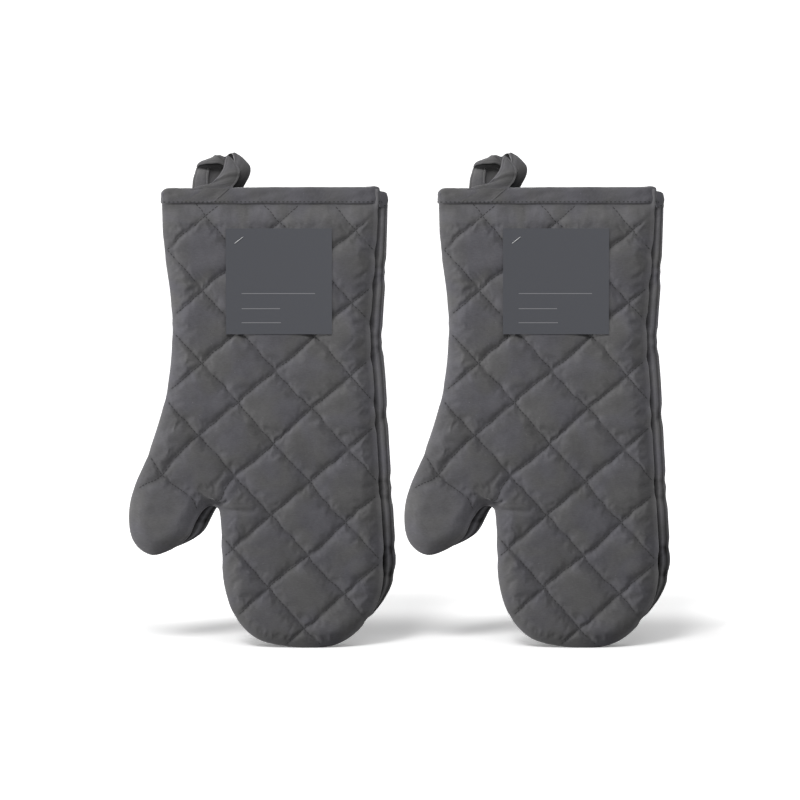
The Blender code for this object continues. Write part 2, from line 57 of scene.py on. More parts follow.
# The outline and the layers, as the model has them
MITT_LENGTH = 330 * MM
FLOOR_CUT = 0.5 * MM
CUFF_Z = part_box("left_front_cover")[1].z
MITT_WIDTH = 182.5 * MM
BACK_SHIFT = 8.6 * MM
SHIFT_LOW = 8 * MM
SHIFT_HIGH = 58 * MM
CUFF_RETURN = 0.24
RETURN_LOW = 235 * MM
CUFF_SHIFT = BACK_SHIFT * (1 - CUFF_RETURN)
CUFF_DROP = 5 * MM
DROP_LOW = 180 * MM
HALF_WIDTH = (MITT_WIDTH + BACK_SHIFT) / 2
SEAM_Y = 0.15 * MM
SEAM_INSET = 1.5 * MM
SEAM_ALLOWANCE = 5 * MM
LINING_Y = 4.5 * MM
LINING = 0.8 * MM
PADDING_Y = 5.6 * MM
EDGE_Y = 7.2 * MM
CHANNEL_Y = 11.5 * MM
PUFF = 3.4 * MM
CROWN_Y = 15.0 * MM
CROWN_EASE = 0.6 * MM
PUFF_FADE = 13 * MM
ROLL = 10 * MM
CUFF_Y = 7.6 * MM
PRESS_Z = 318.2 * MM
CUFF_TAPER = 12 * MM
CUFF_PRESS = 0.4 * MM
CUFF_CORNER = 4 * MM
BINDING_TOP = 329.5 * MM
BINDING_HEIGHT = 11 * MM
BINDING_FACE = 1.5 * MM
BINDING_BACK = 0.3 * MM
BINDING_Y = CUFF_Y + BINDING_FACE
MOUTH_HALF = 3 * MM
STEP_DEPTH = 1 * MM
STEP_SHARE = 0.6
LEFT_ROUND = 6.5 * MM
RIGHT_ROUND = (1.5 * MM, 4.5 * MM)
CUFF_TILT = 0.9 * MM
TILT_STEEP = 1.6
CUFF_BUMP = 0.6 * MM
BUMP_INSET = 4.5 * MM
BUMP_REACH = 2.5 * MM
BINDING_STEP = -1.9 * MM
OFFSET_SMOOTHING = 6
PLAN_SMOOTHING = 10
PLAN_POINTS = 500
STEP_NEAR = ((0.1, -2.6), (1.2, -1.2), (2.6, -0.6))
STEP_FAR = ((-2.2, 0), (-0.6, 1.4))
BINDING_FOLD = 1.1 * MM
BINDING_SWELL = 0.25 * MM
BINDING_RIPPLE = 0.3 * MM
RIPPLE_LENGTH = 17 * MM
RIPPLE_RISE = 0.4
BINDING_PITCH = 3 * MM
PITCH_PARTS = 6
EDGE_STITCHES_UP = 1.4 * MM
LINING_INSET = 0.6 * MM

OUTLINE_SHARES = (
    (0.1329, 1.0), (0.1349, 0.9576), (0.1408, 0.8770), (0.1683, 0.7551), (0.1695, 0.6419),
    (0.1408, 0.5375), (0.0739, 0.4199), (0.0149, 0.3415), (0.0, 0.2827), (0.0189, 0.2327),
    (0.0818, 0.2044), (0.1526, 0.2120), (0.2312, 0.2414), (0.2666, 0.2806), (0.3020, 0.3067),
    (0.3335, 0.3110), (0.3551, 0.3002), (0.3626, 0.2218), (0.3728, 0.1391), (0.4160, 0.0684),
    (0.4986, 0.0215), (0.6323, 0.0024), (0.7424, 0.0), (0.8447, 0.0161), (0.9312, 0.0586),
    (0.9843, 0.1130), (1.0, 0.1826), (0.9921, 0.2806), (0.9744, 0.4395), (0.9618, 0.5701),
    (0.9481, 0.6898), (0.9646, 0.8248), (0.9784, 0.9576), (0.9784, 1.0),
)
CUFF_LEFT = OUTLINE_SHARES[0][0] * MITT_WIDTH - HALF_WIDTH
CUFF_RIGHT = OUTLINE_SHARES[-1][0] * MITT_WIDTH - HALF_WIDTH

# Quilting: (spacing, place of the first line, slope, how far a puff takes to rise, depth share)
RISING = (38.4 * MM, 29.5 * MM, math.radians(41), 17 * MM, 0.6)
FALLING = (36.3 * MM, 32.5 * MM, math.radians(-48), 11 * MM, 0.8)
CUSP = 1.1 * MM
CUSP_SHARE = 0.5
STRENGTH = (0.85, 0.15)
STRENGTH_LENGTH = 60 * MM
LEAST_STRENGTH = 0.4
TOP_LOOSE = 0.3
TOP_LOOSE_Z = 225 * MM
TOP_LOOSE_FADE = 60 * MM
LINE_END = (-43 * MM, 103 * MM)
LINE_END_REACH = 13 * MM
STEPS_PER_CELL = 28
WANDER = 1.3 * MM
WANDER_LENGTH = 70 * MM
JITTER = 0.45 * MM
JITTER_LENGTH = 15 * MM
PULLS = (((-31, 112), (2, -7), 9), ((-77, 125), (0, -4), 16), ((-49, 104), (1.5, 2.5), 9))
THUMB_TIP = (-77 * MM, 84.5 * MM)
THUMB_CLEAR = 25 * MM
THUMB_FADE = 15 * MM
THUMB_LIVELY = 0.2
THUMB_PUFF = 0.8
THUMB_BULGE = 1.8 * MM
BULGE_PLACE = (-49 * MM, 90 * MM)
BULGE_REACH = 11 * MM
THUMB_RAISE = 5 * MM
THUMB_REACH = 24 * MM
PUCKER = 0.3 * MM
PUCKER_LENGTH = 13 * MM
PUCKER_REACH = 6 * MM
PUCKER_APART = 1.7
CREASES = (
    ((-31, 101), (-5, 98.6), 2.6, 1.7), ((-31.5, 101), (-25.5, 113), 3.2, 2.2),
    ((-32, 104), (-45, 112), 0.6, 2),
)
NEEDLE_DIP = 0.6 * MM
EDGE_NOTCH = (1.0 * MM, 0.9 * MM)
OPEN_SIDE_NOTCH = 0.4
NOTCH_REACH = 6 * MM
CROTCH_BLEND = 5 * MM
# Painted shade where the stitched lines run into the back half's rolled edge
CROSS_SHADE = 0.3
CROSS_REACH = 1.4 * MM
RING_STEP = 1.7 * MM
RING_SHARES = (0, 0.15, 0.32, 0.47, 0.6, 0.69, 0.75, 0.79, 0.83, 0.87, 0.91, 0.96)
PLAIN_SIDE = ((0, 0.02), (0.45, 0.2), (0.8, 0.48), (0.96, 0.8), (1, 1))
FOLDED_SIDE = ((0, 0.02), (0.2, 0.05), (0.4, 0.1), (0.55, 0.06), (0.66, -0.06), (0.74, -0.08), (0.79, 0.02),
               (0.83, 0.3), (0.87, 0.12), (0.93, 0.14), (1, 0.7))
RING_INSETS = (0 * MM, 0.5 * MM, 1.3 * MM, 2.4 * MM)
# Painted shade in the seam's groove along the ring shares, with a painted highlight on the ridge beside it
GROOVE_SHADE = (
    (0, 0.5), (0.15, 0.35), (0.32, 0.0), (0.47, -0.3), (0.6, 0.15), (0.75, 0.3), (0.8, 0.0), (0.91, -0.1),
)
# Painted highlight on the rolled edge's fold, for the front and the back half, and how far in it fades
RIM_HIGHLIGHT = (((0.8, 0), (0.91, 0.2), (0.96, 0.9), (1, 0.9)), ((0.8, 0), (0.91, 0.1), (0.96, 0.5), (1, 0.5)))
RIM_FADE = 2.0 * MM
SHARP = (0.3, 0.7)
GROOVE_TURN = 0.6
CROTCH_X = -33 * MM
# Painted shade on the back half's thumb and on its strip low down, beside the front half
THUMB_SHADE = 0.42
FOOT_SHADE = 0.45
FOOT_HIGH = 120 * MM
FOOT_FADE = 60 * MM
# Painted shade towards the bottom of both halves, outside the thumb's tip
LOW_SHADE = 0.08
LOW_HIGH = 190 * MM
LOW_FADE = 90 * MM
# A painted highlight that makes the thumb's tip paler
THUMB_PAINTED_HIGHLIGHT = 0.12

# Lengths of the crossed waves behind every unevenness, which are their heights too, and the sum of those
WAVE_SHARES = (1, 0.62, 0.39, 0.25)
WAVE_TOTAL = 2.26

# Cloth simulation of the covers
SIM_SCALE = 8
SIM_FRAMES = 20
SIM_CAP = 0.9 * MM
HELD_LINE = 0.6
CLOTH = {
    "vertex_group_mass": "held", "quality": 4, "mass": 0.2, "tension_stiffness": 25,
    "compression_stiffness": 15, "shear_stiffness": 8, "bending_stiffness": 0.6, "use_pressure": True,
    "uniform_pressure_force": 2.0, "shrink_min": -0.035,
}

# Painted shade in the stitched lines: how dark, how far to each side, and its unevenness
LINE_SHADE = 0.28
LINE_SHADE_REACH = 1.1 * MM
LINE_SHADE_LENGTH = 40 * MM
LINE_SHADE_EVEN = (0.8, 0.2)

# Thread
STITCH = 2.5 * MM
STITCH_INSET = 3 * MM
STITCH_LINES = 12
THREAD_RADIUS = 0.3 * MM
THREAD_END = 0.5
THREAD_SIDES = 6
THREAD_ASIDE = (0.3, 1, 0.2)
THREAD_POINTS = 5
RAY_FROM = 3 * CHANNEL_Y
THREAD_LIFT = 0.1 * MM
THREAD_SINK = 0.4 * MM
SUNK_LENGTH = 24 * MM
SUNK_LEVEL = -0.45

# The loop, as places of each strip's first and second edge in millimetres: across, up and into the depth,
# from the point of the binding's top that lies LOOP_LEFT from the front half's left edge
LOOP_LEFT = 16.5 * MM
LOOP_RAISE = -0.5 * MM
STRIP_THICKNESS = 1.3 * MM
FRONT_STRIP = (
    (5.7, -0.5, -8.5, 33.9, -0.5, -8.5), (10.3, 1.4, -8.5, 34.9, 1.5, -8.5),
    (14.8, 2.3, -8.4, 35.9, 2.8, -8.6), (19.2, 3.6, -8.2, 37.3, 4.6, -8.5),
    (22.3, 6.6, -7.9, 38.5, 7.0, -8.2), (25.4, 10.2, -7.4, 39.2, 9.7, -7.8),
    (27.5, 14.1, -6.6, 39.4, 12.5, -7.2), (28.3, 17.2, -5.6, 38.3, 15.5, -6.3),
    (28.7, 19.6, -4.6, 36.1, 18.4, -5.2), (29.4, 21.8, -3.6, 33.5, 21.3, -4.0),
    (30.2, 23.3, -2.4, 31.6, 22.9, -2.6),
)
LEFT_STRIP = (
    (5.3, -0.1, -6.2, 16.8, -0.1, -6.2), (5.9, 6.2, -5.2, 16.8, 6.2, -5.0),
    (7.2, 11.0, -3.8, 17.2, 11.0, -3.6), (8.2, 14.4, -2.2, 17.9, 14.4, -1.8),
    (9.4, 16.2, -0.6, 18.8, 16.2, 0.4), (10.4, 17.4, -0.6, 19.4, 18.4, 0.4),
)
# A strip under the top strip, painted near black as the top strip's shadow
UNDER_STRIP = (
    (8.6, 14.3, -3.9, 8.8, 15.6, -3.6), (11.0, 14.4, -4.6, 10.9, 17.2, -4.0),
    (15.0, 14.3, -5.0, 15.0, 18.2, -4.4), (19.6, 14.6, -5.0, 19.6, 18.4, -4.4),
    (23.4, 14.6, -4.8, 23.4, 18.2, -4.2), (27.5, 13.6, -4.4, 27.5, 17.0, -4.0),
)
TOP_STRIP = (
    (8.2, 15.6, -3.4, 8.8, 15.2, -4.2), (10.3, 18.1, -1.0, 10.9, 16.8, -5.2),
    (14.6, 20.4, 0.6, 15.0, 17.5, -6.0), (18.7, 22.1, 1.4, 19.6, 17.8, -6.2),
    (22.2, 23.6, 1.8, 23.4, 18.0, -6.0), (25.2, 23.9, 2.0, 26.6, 17.2, -5.0),
    (28.2, 22.8, 2.2, 28.6, 15.8, -3.4), (29.9, 23.4, 2.4, 30.4, 17.0, 0.0),
)
RIGHT_STRIP = (
    (33.8, 25.2, 0.8, 35.6, 19.6, -1.6), (35.2, 25.7, 1.2, 35.8, 17.2, -2.2),
    (37.0, 24.9, 1.8, 35.4, 15.2, -2.4), (40.6, 22.6, 1.2, 35.8, 13.8, -2.9),
    (43.8, 19.4, 0.6, 35.9, 12.2, -3.5), (46.3, 16.4, 0.0, 36.0, 10.4, -4.1),
    (47.0, 13.2, -0.6, 35.6, 8.4, -4.7), (46.4, 9.6, -1.6, 34.8, 6.2, -5.2),
    (44.9, 6.1, -3.0, 33.4, 4.0, -5.6), (43.0, 2.7, -4.4, 31.6, 1.8, -5.9),
    (41.6, 0.0, -5.4, 30.4, 0.0, -6.1),
)
# A strip in the notch beside the front strip's tip, painted near black as shadow
NOTCH_STRIP = (
    (29.4, 23.2, 3.4, 29.8, 16.0, 1.0), (32.0, 25.0, 3.4, 32.6, 16.2, 1.2),
    (35.4, 25.2, 3.2, 36.4, 16.0, 1.2),
)
# The strip seen through the loop's hole, painted darker as shade, most at its top
INNER_STRIP = (
    (9.4, 3.0, -3.0, 9.8, 17.7, 0.8), (15.0, 0.1, -3.2, 15.2, 19.4, 1.0),
    (20.0, 0.1, -2.6, 20.0, 21.4, 1.2), (25.5, 0.1, -2.6, 25.5, 22.4, 1.2),
    (31.0, 0.1, -3.4, 30.5, 21.8, 0.8),
)
FRONT_RIDGE = ((-1, 0.38), (-0.5, 0.5), (0.1, 0.58), (1, 0.6))
TOP_RIDGE = ((-1, 0.6), (0, 0.7), (1, 0.88))
STRIP_RIDGE = -0.55 * MM
RIDGE_REACH = 0.045
STRIP_SIDES = 56
STRIP_ROUND = (0.6, 0.5)
CURL_MIDDLE = 0.4
HEM = (1.6 * MM, 0.35 * MM, 0.5)
STRIP_BUMP = 0.35 * MM
STRIP_BUMP_LENGTH = 16 * MM
FOLD_HIGHLIGHT_REACH = 0.7 * MM
SHADE_LIMITS = (-0.5, 0.95)

# Each strip: its word, places, how far its edges curl, painted shade at its start, at its end and across,
# how strong the painted highlight on its folds is, and its ridge as (line, how far behind it the crease
# lies, how dark its painted shade is)
STRIPS = (
    # The shade columns paint light and shade: the left strip paler, the right strip lighter at its top and
    # dark at its foot in the front strip's shadow, the inner strip dark under the top strip, under and notch
    # near black
    ("front", FRONT_STRIP, 0.5 * MM, (0, 0, 0), 0.4, (FRONT_RIDGE, -0.09, 0.3)),
    ("left", LEFT_STRIP, 0.2 * MM, (-0.15, -0.3, 0), 0.15, ()),
    ("top", TOP_STRIP, 0.4 * MM, (0, 0.05, 0.1), 0.15, (TOP_RIDGE, 0.04, 0.5)),
    ("right", RIGHT_STRIP, 0.3 * MM, (-0.35, 0.95, 0), 0.25, ()),
    ("inner", INNER_STRIP, 0.3 * MM, (0.45, 0.4, 0.3), 0, ()),
    ("under", UNDER_STRIP, 0.1 * MM, (0.85, 0.9, 0), 0, ()),
    ("notch", NOTCH_STRIP, 0.1 * MM, (0.85, 0.85, 0), 0, ()),
)
TAIL_LEFT = 21.8 * MM
TAIL_SPAN = 40.7 * MM
TAIL_THICKNESS = 1 * MM
TAIL_SUNK = 0.35
TAIL_OUT = 0.8
TAIL_ROWS = 24
TAIL_SHARES = ((-0.02, 0.0), (0.66, 0.0), (0.37, 0.93), (-0.3, 0.93))

# The card's rules: (start and end across, place up), as shares of the card
RULE_SHARES = ((0.148, 0.84, 0.385), (0.148, 0.511, 0.242), (0.148, 0.519, 0.109))
RULE_WIDTH = 0.5 * MM

# The card's bow and the pin's bars
CARD_STEPS = 40
CARD_BOW = 0.35 * MM
PIN_RADIUS = 0.18 * MM
PIN_SLOPE = math.radians(38)
PIN_HALF = 3.9 * MM
PIN_INSET = 0.5 * MM
PIN_POINTS = 9
PIN_SHIFT = np.array((0.4, 0, 0.7)) * MM

# Colours, linear
COTTON = (0.0905, 0.0895, 0.0945)
WARM_TINT = (1.015, 1.01, 0.97)
COOL_TINT = (0.99, 0.985, 1.035)
THREAD = (0.03, 0.03, 0.031)
LINING_COTTON = (0.1, 0.1, 0.104)
BOARD = (0.0665, 0.0685, 0.077)
PRINT = (0.19, 0.19, 0.2)
NYLON = (0.66, 0.66, 0.66)

# Grain: the weave's pitch and depth, its uneven threads as (stretch, strength), streaks, lint and clouds
WEAVE = 0.9 * MM
WEAVE_DEPTH = 0.05 * MM
GRAIN_DEPTH = 0.02 * MM
THREAD_NOISES = (((150, 2400, 1), 1.6), ((2400, 150, 1), 1.6), ((900, 900, 900), 1.8))
STREAKS = (420, 1100, 1)
STREAK_SHARE = 0.4
LINT = (700, 380, 1)
LINT_TURN = (0, 0, 0.6)
CLOUD_SCALE = 55.0
HUE_SCALE = 34.0

# Camera and light
PICTURE = 572 * MM
CAMERA_DISTANCE = 4.0
CAMERA_RISE = math.radians(5.5)
CENTRE_Z = 177.6 * MM
SENSOR = 36
CAMERA_FAR = 200

# Suns: name, degrees to the left of the camera, degrees up, strength, softness in degrees, and whether it
# casts shadows
SUNS = (("key", 17, 44, 1.12, 16, True), ("side", 78, 6, 3.1, 14, False), ("back", 180, 4, 1.5, 14, False))
AMBIENT = 0.3

# The floor's colour for seen rays, near the mitts and away from them, and where it rises along X and Y:
# (middle, start, reach); other rays see a plain grey, so that the mitts aren't lit from below
FLOOR_REACH = 60
FLOOR_GREY = 0.3
FLOOR_TONE = (1.23, 1.92)
FLOOR_FADES = ((25 * MM, 200 * MM, 60 * MM), (50 * MM, 45 * MM, 110 * MM))
STRIP_PLACE = (-0.35, -0.75, 0.85)
STRIP_SIZE = (1.8, 0.25)
STRIP_POWER = 5.8


# Numbers along lines and faces

def smoothstep(share):
    share = np.clip(share, 0, 1)
    return share * share * (3 - 2 * share)


def rise(value, start, over):
    """0 up to the start, and smoothly to 1 over that much more."""
    return smoothstep((value - start) / over)


def bell(gap, reach):
    """1 where there is no gap, and less the further it is."""
    return np.exp(-(gap / reach) ** 2)


def gap_to(places, point):
    return np.linalg.norm(places - point, axis=1)


def quarter_round(share):
    """Rises from 0 to 1 like a quarter of a circle."""
    return np.sqrt(1 - (1 - np.clip(share, 0, 1)) ** 2)


def bezier_line(points, steps=24):
    """A dense line through the points, each stretch a Bezier whose handles follow the neighbours."""
    points = np.array(points, float)
    pieces = []
    for i in range(len(points) - 1):
        before, start = points[max(0, i - 1)], points[i]
        end, after = points[i + 1], points[min(len(points) - 1, i + 2)]
        third = np.linalg.norm(end - start) / 3
        out = start + third * (end - before) / np.linalg.norm(end - before)
        back = end - third * (after - start) / np.linalg.norm(after - start)
        t = np.linspace(0, 1, steps, endpoint=False)[:, None]
        left = 1 - t
        pieces.append(left ** 3 * start + 3 * t * left ** 2 * out + 3 * t * t * left * back + t ** 3 * end)
    return np.vstack([*pieces, points[-1:]])


def travelled_along(line):
    """How far along the line each of its points lies."""
    return np.concatenate([[0], np.cumsum(np.linalg.norm(np.diff(line, axis=0), axis=1))])


def resampled(line, count):
    """The line with that many points, evenly spaced along it."""
    travelled = travelled_along(line)
    wanted = np.linspace(0, travelled[-1], count)
    return np.stack([np.interp(wanted, travelled, line[:, k]) for k in range(line.shape[1])], axis=1)


def smoothed(ring, times):
    """A closed ring of points, eased that many times."""
    for _ in range(times):
        ring = (np.roll(ring, 1, axis=0) + 2 * ring + np.roll(ring, -1, axis=0)) / 4
    return ring


def length_of(line):
    return float(np.linalg.norm(np.diff(line, axis=0), axis=1).sum())


def outward(line, closed=False):
    """Unit normals of a plane line, to its left as it runs on: outwards for these outlines."""
    ahead = np.roll(line, -1, axis=0) - np.roll(line, 1, axis=0)
    if not closed:
        ahead[0] = line[1] - line[0]
        ahead[-1] = line[-1] - line[-2]
    ahead /= np.linalg.norm(ahead, axis=1)[:, None]
    return np.stack([ahead[:, 1], -ahead[:, 0]], axis=1)


def distances(places, line, at_once=64):
    """Distance from each place to an open line, which is taken some stretches at once."""
    start, run = line[:-1], np.diff(line, axis=0)
    nearest = np.full(len(places), np.inf)
    for first in range(0, len(start), at_once):
        part = slice(first, first + at_once)
        away = places[:, None] - start[None, part]
        share = np.clip((away * run[part]).sum(2) / (run[part] ** 2).sum(1), 0, 1)
        gap = np.linalg.norm(away - share[..., None] * run[part], axis=2)
        nearest = np.minimum(nearest, gap.min(1))
    return nearest


def within(places, polygon):
    """Whether each place lies inside the closed polygon."""
    crossings = np.zeros(len(places), int)
    for start, end in zip(polygon, np.roll(polygon, -1, axis=0)):
        spans = (start[1] > places[:, 1]) != (end[1] > places[:, 1])
        height = end[1] - start[1] if end[1] != start[1] else 1
        across = start[0] + (places[:, 1] - start[1]) / height * (end[0] - start[0])
        crossings += spans & (across > places[:, 0])
    return crossings % 2 == 1


def wave(places, length, seed):
    """Smooth irregular numbers from -1 to 1 over the plane, from a few crossed waves."""
    random = np.random.default_rng(seed)
    total = np.zeros(len(places))
    for share in WAVE_SHARES:
        turn = random.uniform(0, math.tau)
        phase = random.uniform(0, math.tau)
        along = places @ np.array([math.cos(turn), math.sin(turn)])
        total += share * np.sin(math.tau * along / (length * share) + phase)
    return total / WAVE_TOTAL


# Meshes and pieces

def mesh_of(name, points, faces, finish, place=None, shade=None):
    """A smooth mesh, with each point's flat cloth place for the weave and its painted shade and highlight."""
    mesh = bpy.data.meshes.new(name)
    mesh.from_pydata([tuple(p) for p in points], [], [tuple(f) for f in faces])
    mesh.materials.append(finish)
    mesh.shade_smooth()
    if place is not None:
        attribute = mesh.attributes.new("cloth_place", "FLOAT_VECTOR", "POINT")
        flat = np.zeros((len(points), 3), np.float32)
        flat[:, :place.shape[1]] = place
        attribute.data.foreach_set("vector", flat.ravel())
    if shade is not None:
        attribute = mesh.attributes.new("painted_shade_and_highlight", "FLOAT", "POINT")
        attribute.data.foreach_set("value", shade.astype(np.float32))
    return mesh


def cleaned(mesh, fill=False, sharp=None):
    """Closes open ends, turns the faces outwards and marks sharp edges."""
    data = bmesh.new()
    data.from_mesh(mesh)
    if fill:
        open_edges = [edge for edge in data.edges if edge.is_boundary]
        made = bmesh.ops.holes_fill(data, edges=open_edges, sides=0)["faces"]
        bmesh.ops.triangulate(data, faces=made)
    bmesh.ops.recalc_face_normals(data, faces=data.faces)
    data.to_mesh(mesh)
    data.free()
    if sharp:
        mesh.set_sharp_from_angle(angle=math.radians(sharp))
    return mesh


def placed(name, data):
    """A new object in the scene."""
    obj = bpy.data.objects.new(name, data)
    bpy.context.scene.collection.objects.link(obj)
    return obj


def stand_twice(mesh, body, slot, *replaced):
    """The mesh as a piece of the left mitt and of the right one, named after it."""
    made = []
    for side in SIDES:
        piece = placed(f"{side}_{mesh.name}", mesh)
        piece.location = STANDS[side]
        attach(piece, f"{side}_{body}")
        if replaced:
            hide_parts(*(f"{side}_{node}" for node in replaced))
        made.append(piece)
    return made


def stand_of(side):
    """Where a mitt's own frame stands, from the boxes of its halves."""
    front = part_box(f"{side}_front_cover")
    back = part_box(f"{side}_back_cover")
    return Vector((back[1].x - HALF_WIDTH, (front[1].y + back[0].y) / 2, 0))


STANDS = {side: stand_of(side) for side in SIDES}


# The outline

def cut_at_cuff(line):
    """The line without what lies above the cuff's top, ending exactly there."""
    low = np.flatnonzero(line[:, 1] < CUFF_Z)
    kept = line[low[0]:low[-1] + 1]
    ends = []
    for inside, outside in ((low[0], low[0] - 1), (low[-1], low[-1] + 1)):
        share = (CUFF_Z - line[inside, 1]) / (line[outside, 1] - line[inside, 1])
        ends.append(line[inside] + share * (line[outside] - line[inside]))
    return np.vstack([ends[0], kept, ends[1]])


def shift_at(height):
    """How far the back half lies to the right of the front half."""
    back = 1 - CUFF_RETURN * rise(height, RETURN_LOW, CUFF_Z - RETURN_LOW)
    return BACK_SHIFT * rise(height, SHIFT_LOW, SHIFT_HIGH - SHIFT_LOW) * back


def outline():
    points = [(a * MITT_WIDTH - HALF_WIDTH, u * MITT_LENGTH - FLOOR_CUT) for a, u in OUTLINE_SHARES]
    over = PRESS_Z - CUFF_Z
    first = (points[0][0], points[0][1] - over)
    last = (points[-1][0], points[-1][1] - over)
    line = cut_at_cuff(bezier_line([first, *points, last]))
    return resampled(line, round(length_of(line) / RING_STEP))


FRONT_EDGE = outline()
FRONT_NORMAL = outward(FRONT_EDGE)
FACES_RIGHT = smoothstep(FRONT_NORMAL[:, 0] * 4)
SEAM = FRONT_EDGE - SEAM_INSET * FRONT_NORMAL
SEAM[:, 0] += shift_at(FRONT_EDGE[:, 1]) * (1 - FRONT_NORMAL[:, 0]) / 2
SEAM[[0, -1], 1] = CUFF_Z


# The quilted halves

def crossways(places, family):
    """Distance of each place across the lines of one family, from its first line."""
    phase, slope = family[1:3]
    return places[:, 1] * math.cos(slope) - places[:, 0] * math.sin(slope) - phase


def off_line(places, family):
    """Distance of each place to the nearest stitched line of the family."""
    share = crossways(places, family) / family[0]
    return np.abs(share - np.round(share)) * family[0]


def off_lines(places):
    return np.minimum(off_line(places, RISING), off_line(places, FALLING))


def puff_share(places):
    """0 at the stitched lines, and nearly 1 over the middle of each diamond."""
    total = np.ones(len(places))
    for family in (RISING, FALLING):
        away = off_line(places, family)
        dome = np.sin(math.pi / 2 * np.clip(away / family[3], 0, 1))
        up = CUSP_SHARE * (1 - np.exp(-away / CUSP)) + (1 - CUSP_SHARE) * dome
        total *= 1 - family[4] * line_strength(places, family) * (1 - up)
    return total


def line_strength(places, family):
    """How tightly a line is stitched: uneven, and nothing where a rising line has ended in the crotch."""
    strength = STRENGTH[0] + STRENGTH[1] * wave(places, STRENGTH_LENGTH, seed=41)
    if family is FALLING:
        return strength - TOP_LOOSE * rise(places[:, 1], TOP_LOOSE_Z, TOP_LOOSE_FADE)
    return strength * (1 - np.exp(-(gap_to(places, LINE_END) / LINE_END_REACH) ** 4))


def thumb_fade(places):
    """0 over the thumb's tip, which has no stitches, and 1 away from it."""
    return rise(gap_to(places, THUMB_TIP), THUMB_CLEAR, THUMB_FADE)


def puckers(places):
    """Small folds that run away from each stitched line."""
    total = np.zeros(len(places))
    for family, other, seed in ((RISING, FALLING, 11), (FALLING, RISING, 12)):
        along = crossways(places, other)
        line = np.round(crossways(places, family) / family[0])
        ripple = wave(np.stack([along, line * PUCKER_APART], axis=1), PUCKER_LENGTH, seed)
        total += ripple * bell(off_line(places, family), PUCKER_REACH)
    return PUCKER * total * thumb_fade(places)


def creases(places):
    """Depth of the creases that run out of the crotch, deepest where they start."""
    total = np.zeros(len(places))
    for start, end, depth, width in CREASES:
        start, end = np.array(start) * MM, np.array(end) * MM
        run = end - start
        share = np.clip((places - start) @ run / (run @ run), 0, 1)
        gap = gap_to(places, start + share[:, None] * run)
        total += depth * MM * (1 - share) ** 0.5 * bell(gap, width * MM)
    return total


def cover_depth(places, inset):
    """How far the cover's face lies from the seam plane."""
    full = EDGE_Y + (CHANNEL_Y - EDGE_Y) * quarter_round(inset / ROLL)
    fade = thumb_fade(places)
    puff = fade * puff_share(places) + THUMB_PUFF * (1 - fade)
    full = full + PUFF * puff * smoothstep(inset / PUFF_FADE)
    full = full + (puckers(places) - creases(places)) * smoothstep(inset / ROLL)
    pressed = np.minimum(full, CUFF_Y + CUFF_PRESS)
    return pressed + (full - pressed) * smoothstep((PRESS_Z - places[:, 1]) / CUFF_TAPER)


def notched(edge, side):
    """The edge drawn in a little where a stitched line runs into it, and less inside the thumb."""
    cuff_fade = smoothstep((PRESS_Z - edge[:, 1]) / CUFF_TAPER)
    fade = cuff_fade * smoothstep(edge[:, 1] / CUFF_TAPER) * thumb_fade(edge)
    inside_thumb = FACES_RIGHT * smoothstep((CROTCH_X - edge[:, 0]) / CROTCH_BLEND + 0.5)
    pull = EDGE_NOTCH[side > 0] * (1 - smoothstep(off_lines(edge) / NOTCH_REACH)) * fade * (1 - inside_thumb)
    if side < 0:
        pull *= OPEN_SIDE_NOTCH + (1 - OPEN_SIDE_NOTCH) * FACES_RIGHT
    return edge - outward(edge) * pull[:, None]


def lattice():
    """Points along the quilting lines, and whether each is one where the needle went through."""
    reach = math.ceil(2 * MITT_LENGTH / FALLING[0]) * STEPS_PER_CELL
    i, j = np.meshgrid(np.arange(-reach, reach), np.arange(-reach, reach), indexing="ij")
    first = RISING[1] + RISING[0] * i / STEPS_PER_CELL
    second = FALLING[1] + FALLING[0] * j / STEPS_PER_CELL
    a = (-math.sin(RISING[2]), math.cos(RISING[2]))
    b = (-math.sin(FALLING[2]), math.cos(FALLING[2]))
    cross = a[0] * b[1] - a[1] * b[0]
    x = (first * b[1] - second * a[1]) / cross
    z = (second * a[0] - first * b[0]) / cross
    on_rising = i % STEPS_PER_CELL == 0
    on_falling = j % STEPS_PER_CELL == 0
    needle = (on_rising & (j % 2 == 0)) | (on_falling & (i % 2 == 0))
    keep = (z > 0) & (z < CUFF_Z) & (np.abs(x) < HALF_WIDTH)
    places = np.stack([x[keep], z[keep]], axis=1)
    return places, needle[keep], (on_rising | on_falling)[keep]


def wandered(places, inset):
    """Hand-guided stitching: the lines wander a little, but not at the edge."""
    fade = smoothstep((inset - ROLL / 3) / ROLL)
    moved = places.copy()
    for by, length, seeds in ((WANDER, WANDER_LENGTH, (3, 4)), (JITTER, JITTER_LENGTH, (5, 6))):
        for axis, seed in enumerate(seeds):
            moved[:, axis] += by * fade * wave(places, length, seed)
    for centre, pull, reach in PULLS:
        near = fade * bell(gap_to(places, np.array(centre) * MM), reach * MM)
        moved += np.array(pull) * MM * near[:, None]
    return moved


def drop_share(deep, step=0.0):
    """How far the back half's cuff has dropped, at a depth: mostly at once, behind the seam."""
    at_once = STEP_SHARE * smoothstep((deep - step) / STEP_DEPTH + 0.5)
    return at_once + (1 - STEP_SHARE) * np.clip(deep / BINDING_Y, 0, 1)


